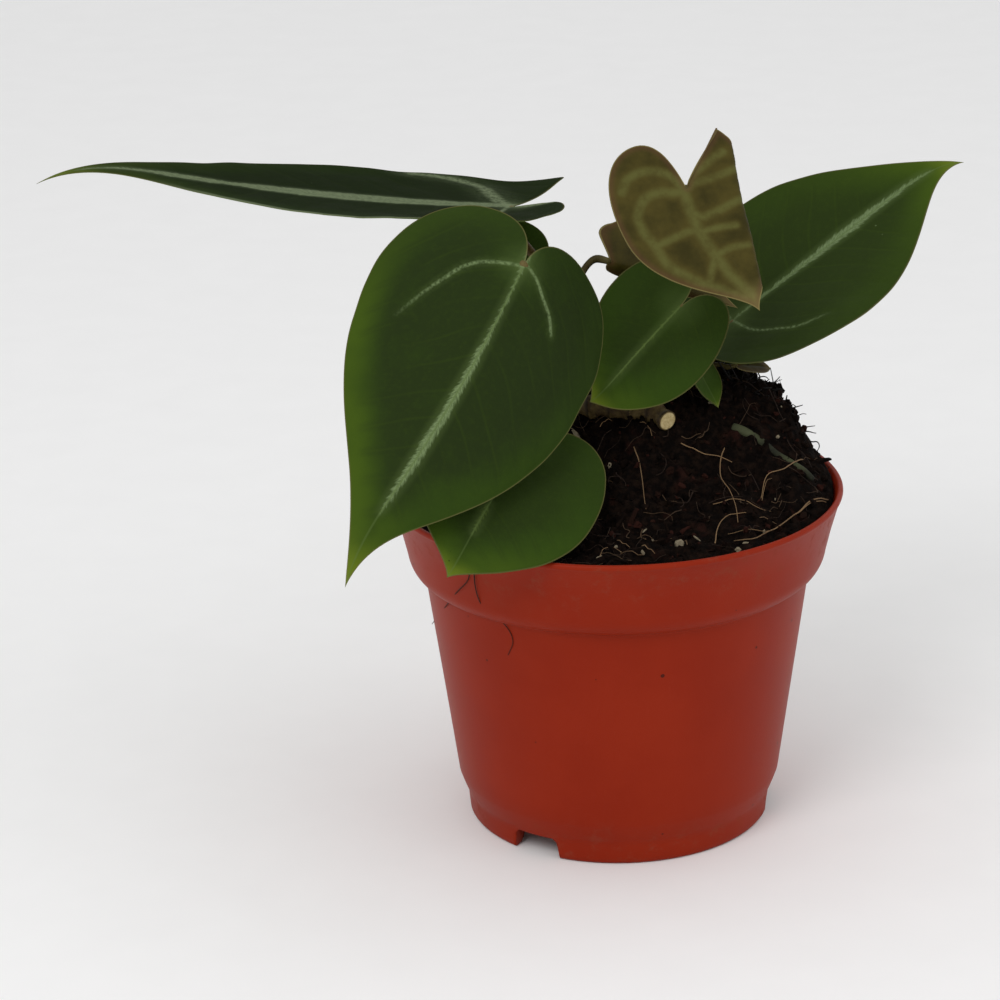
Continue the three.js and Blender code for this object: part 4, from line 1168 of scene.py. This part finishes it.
def lie_on_soil(points, lift):
    """A path draped over the soil, with the lift given at each end and in the middle."""
    path = smooth_path(points, 26)
    hump = np.interp(np.linspace(0, 1, len(path)), np.linspace(0, 1, len(lift)), lift)
    path[:, 2] = soil_height(path[:, 0], path[:, 1], crumbs=0.15) + 0.75 + hump
    return path


# Fibres that stand out in the photograph: radius, tone and the pixels they run through.
SEEN_FIBRES = [
    (0.17, 0.75, [(681, 446), (705, 458), (732, 466)]),
    (0.15, 0.7, [(725, 450), (721, 462), (721, 482), (730, 498), (736, 511), (738, 527)]),
    (0.16, 0.8, [(803, 463), (785, 474), (767, 482), (761, 500)]),
    (0.16, 0.75, [(715, 546), (719, 530), (730, 519), (746, 516)]),
    (0.20, 0.65, [(828, 503), (800, 519), (770, 534), (752, 542), (734, 545)]),
    (0.13, 0.7, [(826, 506), (790, 523), (757, 536), (728, 539)]),
    (0.16, 0.55, [(634, 452), (640, 470), (642, 484), (644, 500), (646, 512)]),
    (0.12, 0.75, [(713, 508), (730, 504), (744, 505), (757, 513), (771, 514)]),
    (0.11, 0.9, [(600, 430), (606, 425), (612, 424)]),
    (0.11, 0.7, [(640, 425), (648, 431), (652, 440)]),
    (0.11, 0.85, [(642, 549), (649, 553), (655, 557)]),
    (0.10, 0.8, [(600, 558), (606, 554), (622, 556)]),
    (0.10, 0.75, [(617, 543), (624, 548), (630, 553)]),
    (0.11, 0.6, [(762, 503), (766, 490), (772, 480)]),
]


def add_fibres(material):
    """Fine roots and coir fibres on and in the soil."""
    generator = np.random.default_rng(SEED + 1)
    parts = []
    for radius, tone, pixels in SEEN_FIBRES:
        path = lie_on_soil([on_soil(pixel) for pixel in pixels], (0.1, 0.8, 0.5, 0.9, 0.1))
        points, faces, along = tube(path, radius * np.linspace(1, 0.6, len(path)), 6)
        parts.append((points, faces, np.full(len(points), tone)))
    for k in range(230):
        x, y = spot_on_soil(generator)
        heading = generator.uniform(0, 2 * math.pi)
        step = generator.uniform(0.9, 2.6)
        way = [(x, y, 0)]
        for _ in range(4):
            heading += generator.normal(0, 0.55)
            x, y = x + step * math.cos(heading), y + step * math.sin(heading)
            way.append((x, y, 0))
        if max(math.hypot(px, py) for px, py, _ in way) > 56.5:
            continue
        lift = generator.uniform(-0.4, 1.1, 5)
        path = lie_on_soil(way, lift)[::2]
        radius = generator.uniform(0.06, 0.16)
        points, faces, along = tube(path, radius * np.linspace(1, 0.5, len(path)), 5)
        parts.append((points, faces, np.full(len(points), generator.uniform(-0.3, 0.75) ** 3)))
    points, faces, tone = joined(parts)
    fibres = mesh_object("root_fibres", points, faces, material)
    attach_values(fibres, "tone", tone)
    return finish_piece(fibres, "soil")


def add_tufts(material):
    """Ragged fibres that stand up along the back of the mound."""
    generator = np.random.default_rng(SEED + 2)
    parts = []
    for k in range(320):
        x = generator.uniform(14, 54)
        y = generator.uniform(12, 42)
        if math.hypot(x, y) > 54:
            continue
        way, heading = [(x, y, float(soil_height(x, y)) - 0.6)], generator.uniform(0, 2 * math.pi)
        rise = generator.uniform(0.2, 0.9)
        for _ in range(4):
            heading += generator.normal(0, 0.7)
            rise += generator.normal(-0.12, 0.35)
            step = generator.uniform(0.6, 1.5)
            last = way[-1]
            way.append((last[0] + step * math.cos(heading), last[1] + step * math.sin(heading),
                        last[2] + step * rise))
        path = smooth_path(way, 12)
        radius = generator.uniform(0.12, 0.42)
        points, faces, along = tube(path, radius * np.linspace(1, 0.45, len(path)), 5)
        parts.append((points, faces, np.full(len(points), generator.uniform(-0.4, 0.3))))
    points, faces, tone = joined(parts)
    tufts = mesh_object("peat_tufts", points, faces, material)
    attach_values(tufts, "tone", tone)
    return finish_piece(tufts, "soil")


# Rhizome and the old stalk

RHIZOME_PATH = [(-14, 14, 104.5), (-6, 10, 109), (4, 6.5, 109.6), (10.5, 3.5, 109.2), (13.8, -1, 108.6)]
RHIZOME_RADIUS = 3.2
RHIZOME_RINGS = 6
RING_SWELL = 0.35
OLD_STALK_PATH = [(31, 1, 106), (38, -2, 104.5), (45, -6, 100.6), (51, -10, 95)]
OLD_STALK_RADIUS = 1.4


def add_rhizome(material):
    """The creeping stem, ringed with leaf scars, cut off at its front end."""
    path = smooth_path(RHIZOME_PATH, 140)
    u = np.linspace(0, 1, len(path))
    ring = np.cos(2 * math.pi * RHIZOME_RINGS * u)
    radii = RHIZOME_RADIUS + RING_SWELL * ring - 0.25 * (ring > 0.93)
    radii *= 1 - 0.2 * smooth_step((u - 0.75) / 0.2)
    direction = path[-1] - path[-6]
    direction /= np.linalg.norm(direction)
    face = path[-1] + np.outer((0.05, 0.08, 0.12), direction)
    path = np.vstack([path, face])
    radii = np.concatenate([radii, radii[-1] * np.array((0.93, 0.84, 0.45))])
    points, faces, along = tube(path, radii, 48)
    end = path[-1]
    body = points[:-2]
    wobble = lattice_noise(body[:, 0] / 1.4 + body[:, 2], body[:, 1] / 1.4 - body[:, 2], 31)
    centres = np.repeat(path, 48, axis=0)
    out = body - centres
    on_bark = np.repeat(np.arange(len(path)) < len(path) - 4, 48)
    body += out / np.linalg.norm(out, axis=1)[:, None] * (0.28 * wobble * on_bark)[:, None]
    points[:-2] = body
    points[-1] = end + 0.15 * direction
    cut = np.zeros(len(points))
    cut[-1] = 1
    cut[-2 - 2 * 48 : -2] = 1
    rhizome = mesh_object("creeping_stem", points, faces, material)
    attach_values(rhizome, "along", along)
    attach_values(rhizome, "cut", cut)
    return finish_piece(rhizome, "rhizome", "rhizome")


def add_old_stalk(material):
    """A withered stalk half sunk in the soil."""
    path = smooth_path(OLD_STALK_PATH, 60)
    u = np.linspace(0, 1, len(path))
    path[:, 2] -= 0.4 + 2.3 * np.sin(math.pi * u) ** 2
    radii = 0.9 * OLD_STALK_RADIUS * (1 - 0.35 * u) * (1 + 0.08 * np.sin(9 * u) + 0.05 * np.sin(23 * u))
    points, faces, along = tube(path, radii, 18)
    husk = mesh_object("withered_stalk", points, faces, material)
    attach_values(husk, "tone", 0.5 + 0.4 * np.sin(11 * along))
    return finish_piece(husk, "rhizome", "old_stalk")


def outer_fibres(material):
    """Two dark roots that hang over the rim, outside on the collar and wall."""
    parts = []
    for pixels in OUTSIDE_FIBRES:
        way = []
        for pixel in pixels:
            start, ray = sight_line(pixel)
            way.append(on_wall(start, ray))
        path = smooth_path(way, 30)
        points, faces, along = tube(path, np.linspace(0.16, 0.09, len(path)), 5)
        parts.append((points, faces, np.full(len(points), -0.2)))
    points, faces, tone = joined(parts)
    roots = mesh_object("hanging_roots", points, faces, material)
    attach_values(roots, "tone", tone)
    return finish_piece(roots, "soil")


OUTSIDE_FIBRES = [
    [(470, 570), (468, 580), (457, 592), (446, 606), (432, 624)],
    [(474, 572), (475, 585), (479, 600), (487, 612), (502, 622), (510, 632), (513, 642), (508, 655)],
]


def on_wall(start, ray):
    """Where a sight line first meets the outside of the pot."""
    steps = np.linspace(CAMERA_DISTANCE * 0.85, CAMERA_DISTANCE * 1.1, 4000)
    points = start + steps[:, None] * ray
    levels, radii = zip(*[(z, r) for r, z in [(LEDGE_RADIUS - 8 * (LEDGE_Z / 57), 0), (LEDGE_RADIUS, LEDGE_Z),
                                               (COLLAR_FOOT_RADIUS, COLLAR_FOOT_Z),
                                               (RIM_RADIUS, POT_HEIGHT)]])
    wall = np.interp(points[:, 2], levels, radii) + 0.15
    outside = np.hypot(points[:, 0], points[:, 1]) - wall
    return points[np.argmax(outside < 0)] if (outside < 0).any() else points[np.argmin(outside)]


# Studio

def area_light(name, place, target, size, power, tint=(1, 1, 1)):
    data = bpy.data.lights.new(name, "AREA")
    data.shape = "DISK"
    data.size = size
    data.energy = power
    data.color = tint
    light = bpy.data.objects.new(name, data)
    light.location = place
    light.rotation_euler = (Vector(target) - Vector(place)).to_track_quat("-Z", "Y").to_euler()
    bpy.context.scene.collection.objects.link(light)


def add_studio():
    bpy.ops.mesh.primitive_plane_add(size=6, location=(0, 0, -0.0002))
    floor = bpy.context.object
    floor.name = "floor"
    floor.data.materials.append(floor_paint())
    world = bpy.data.worlds.new("studio")
    world.use_nodes = True
    world.node_tree.nodes["Background"].inputs["Color"].default_value = (1, 1, 1, 1)
    world.node_tree.nodes["Background"].inputs["Strength"].default_value = 0.78
    bpy.context.scene.world = world
    bpy.context.scene.view_settings.view_transform = "Standard"
    area_light("key", (-0.45, -0.8, 0.95), (0, 0, 0.09), 0.6, 4.2)
    area_light("fill", (0.9, -0.5, 0.6), (0, 0, 0.09), 0.8, 1.2)


camera = add_camera()
BALL_POINTS, BALL_FACES = icosphere()

green = {
    "long_leaf": green_leaf("long_green", LONG_GREEN),
    "front_leaf": green_leaf("front_green", LEAF_GREEN),
    "right_leaf": green_leaf("right_green", RIGHT_GREEN),
    "middle_leaf": green_leaf("young_green", YOUNG_GREEN),
}
bronze = bronze_leaf("young_bronze", BRONZE_TONES)
brown_stalk = stalk_skin("brown_stalk", srgb(62, 42, 18), srgb(78, 60, 24), srgb(110, 100, 62))
dark_stalk = stalk_skin("dark_stalk", srgb(44, 36, 12), srgb(58, 50, 20), srgb(92, 84, 48))
for name, leaf in LEAVES.items():
    detail = {"long_leaf": LARGE, "front_leaf": LARGE, "right_leaf": LARGE, "bronze_leaf": BRONZE,
              "low_leaf": TINY, "bronze_low_leaf": TINY}.get(name, SMALL)
    skin = bronze if "bronze" in name else green.get(name, green["middle_leaf"])
    add_blade(name, leaf, detail, skin)
    add_stalk(name, leaf, dark_stalk if "bronze" in name else brown_stalk)

add_pot(pot_plastic())
peat = dict(dark=srgb(9, 6, 5), brown=srgb(27, 18, 13), red=srgb(44, 23, 18), pale=srgb(128, 118, 98))
add_soil(soil_matter("peat", bits=0.0, **peat))
add_crumbs(soil_matter("peat_grains", bits=1.0, **peat))
fibre = fibre_skin("root_fibre", srgb(34, 22, 15), srgb(138, 110, 78))
add_fibres(fibre)
add_tufts(fibre_skin("dark_fibre", srgb(10, 7, 6), srgb(40, 26, 18)))
outer_fibres(fibre_skin("hanging_fibre", srgb(46, 22, 12), srgb(96, 60, 34)))
add_rhizome(rhizome_bark())
add_old_stalk(fibre_skin("withered_skin", srgb(20, 21, 12), srgb(66, 70, 46)))
add_studio()
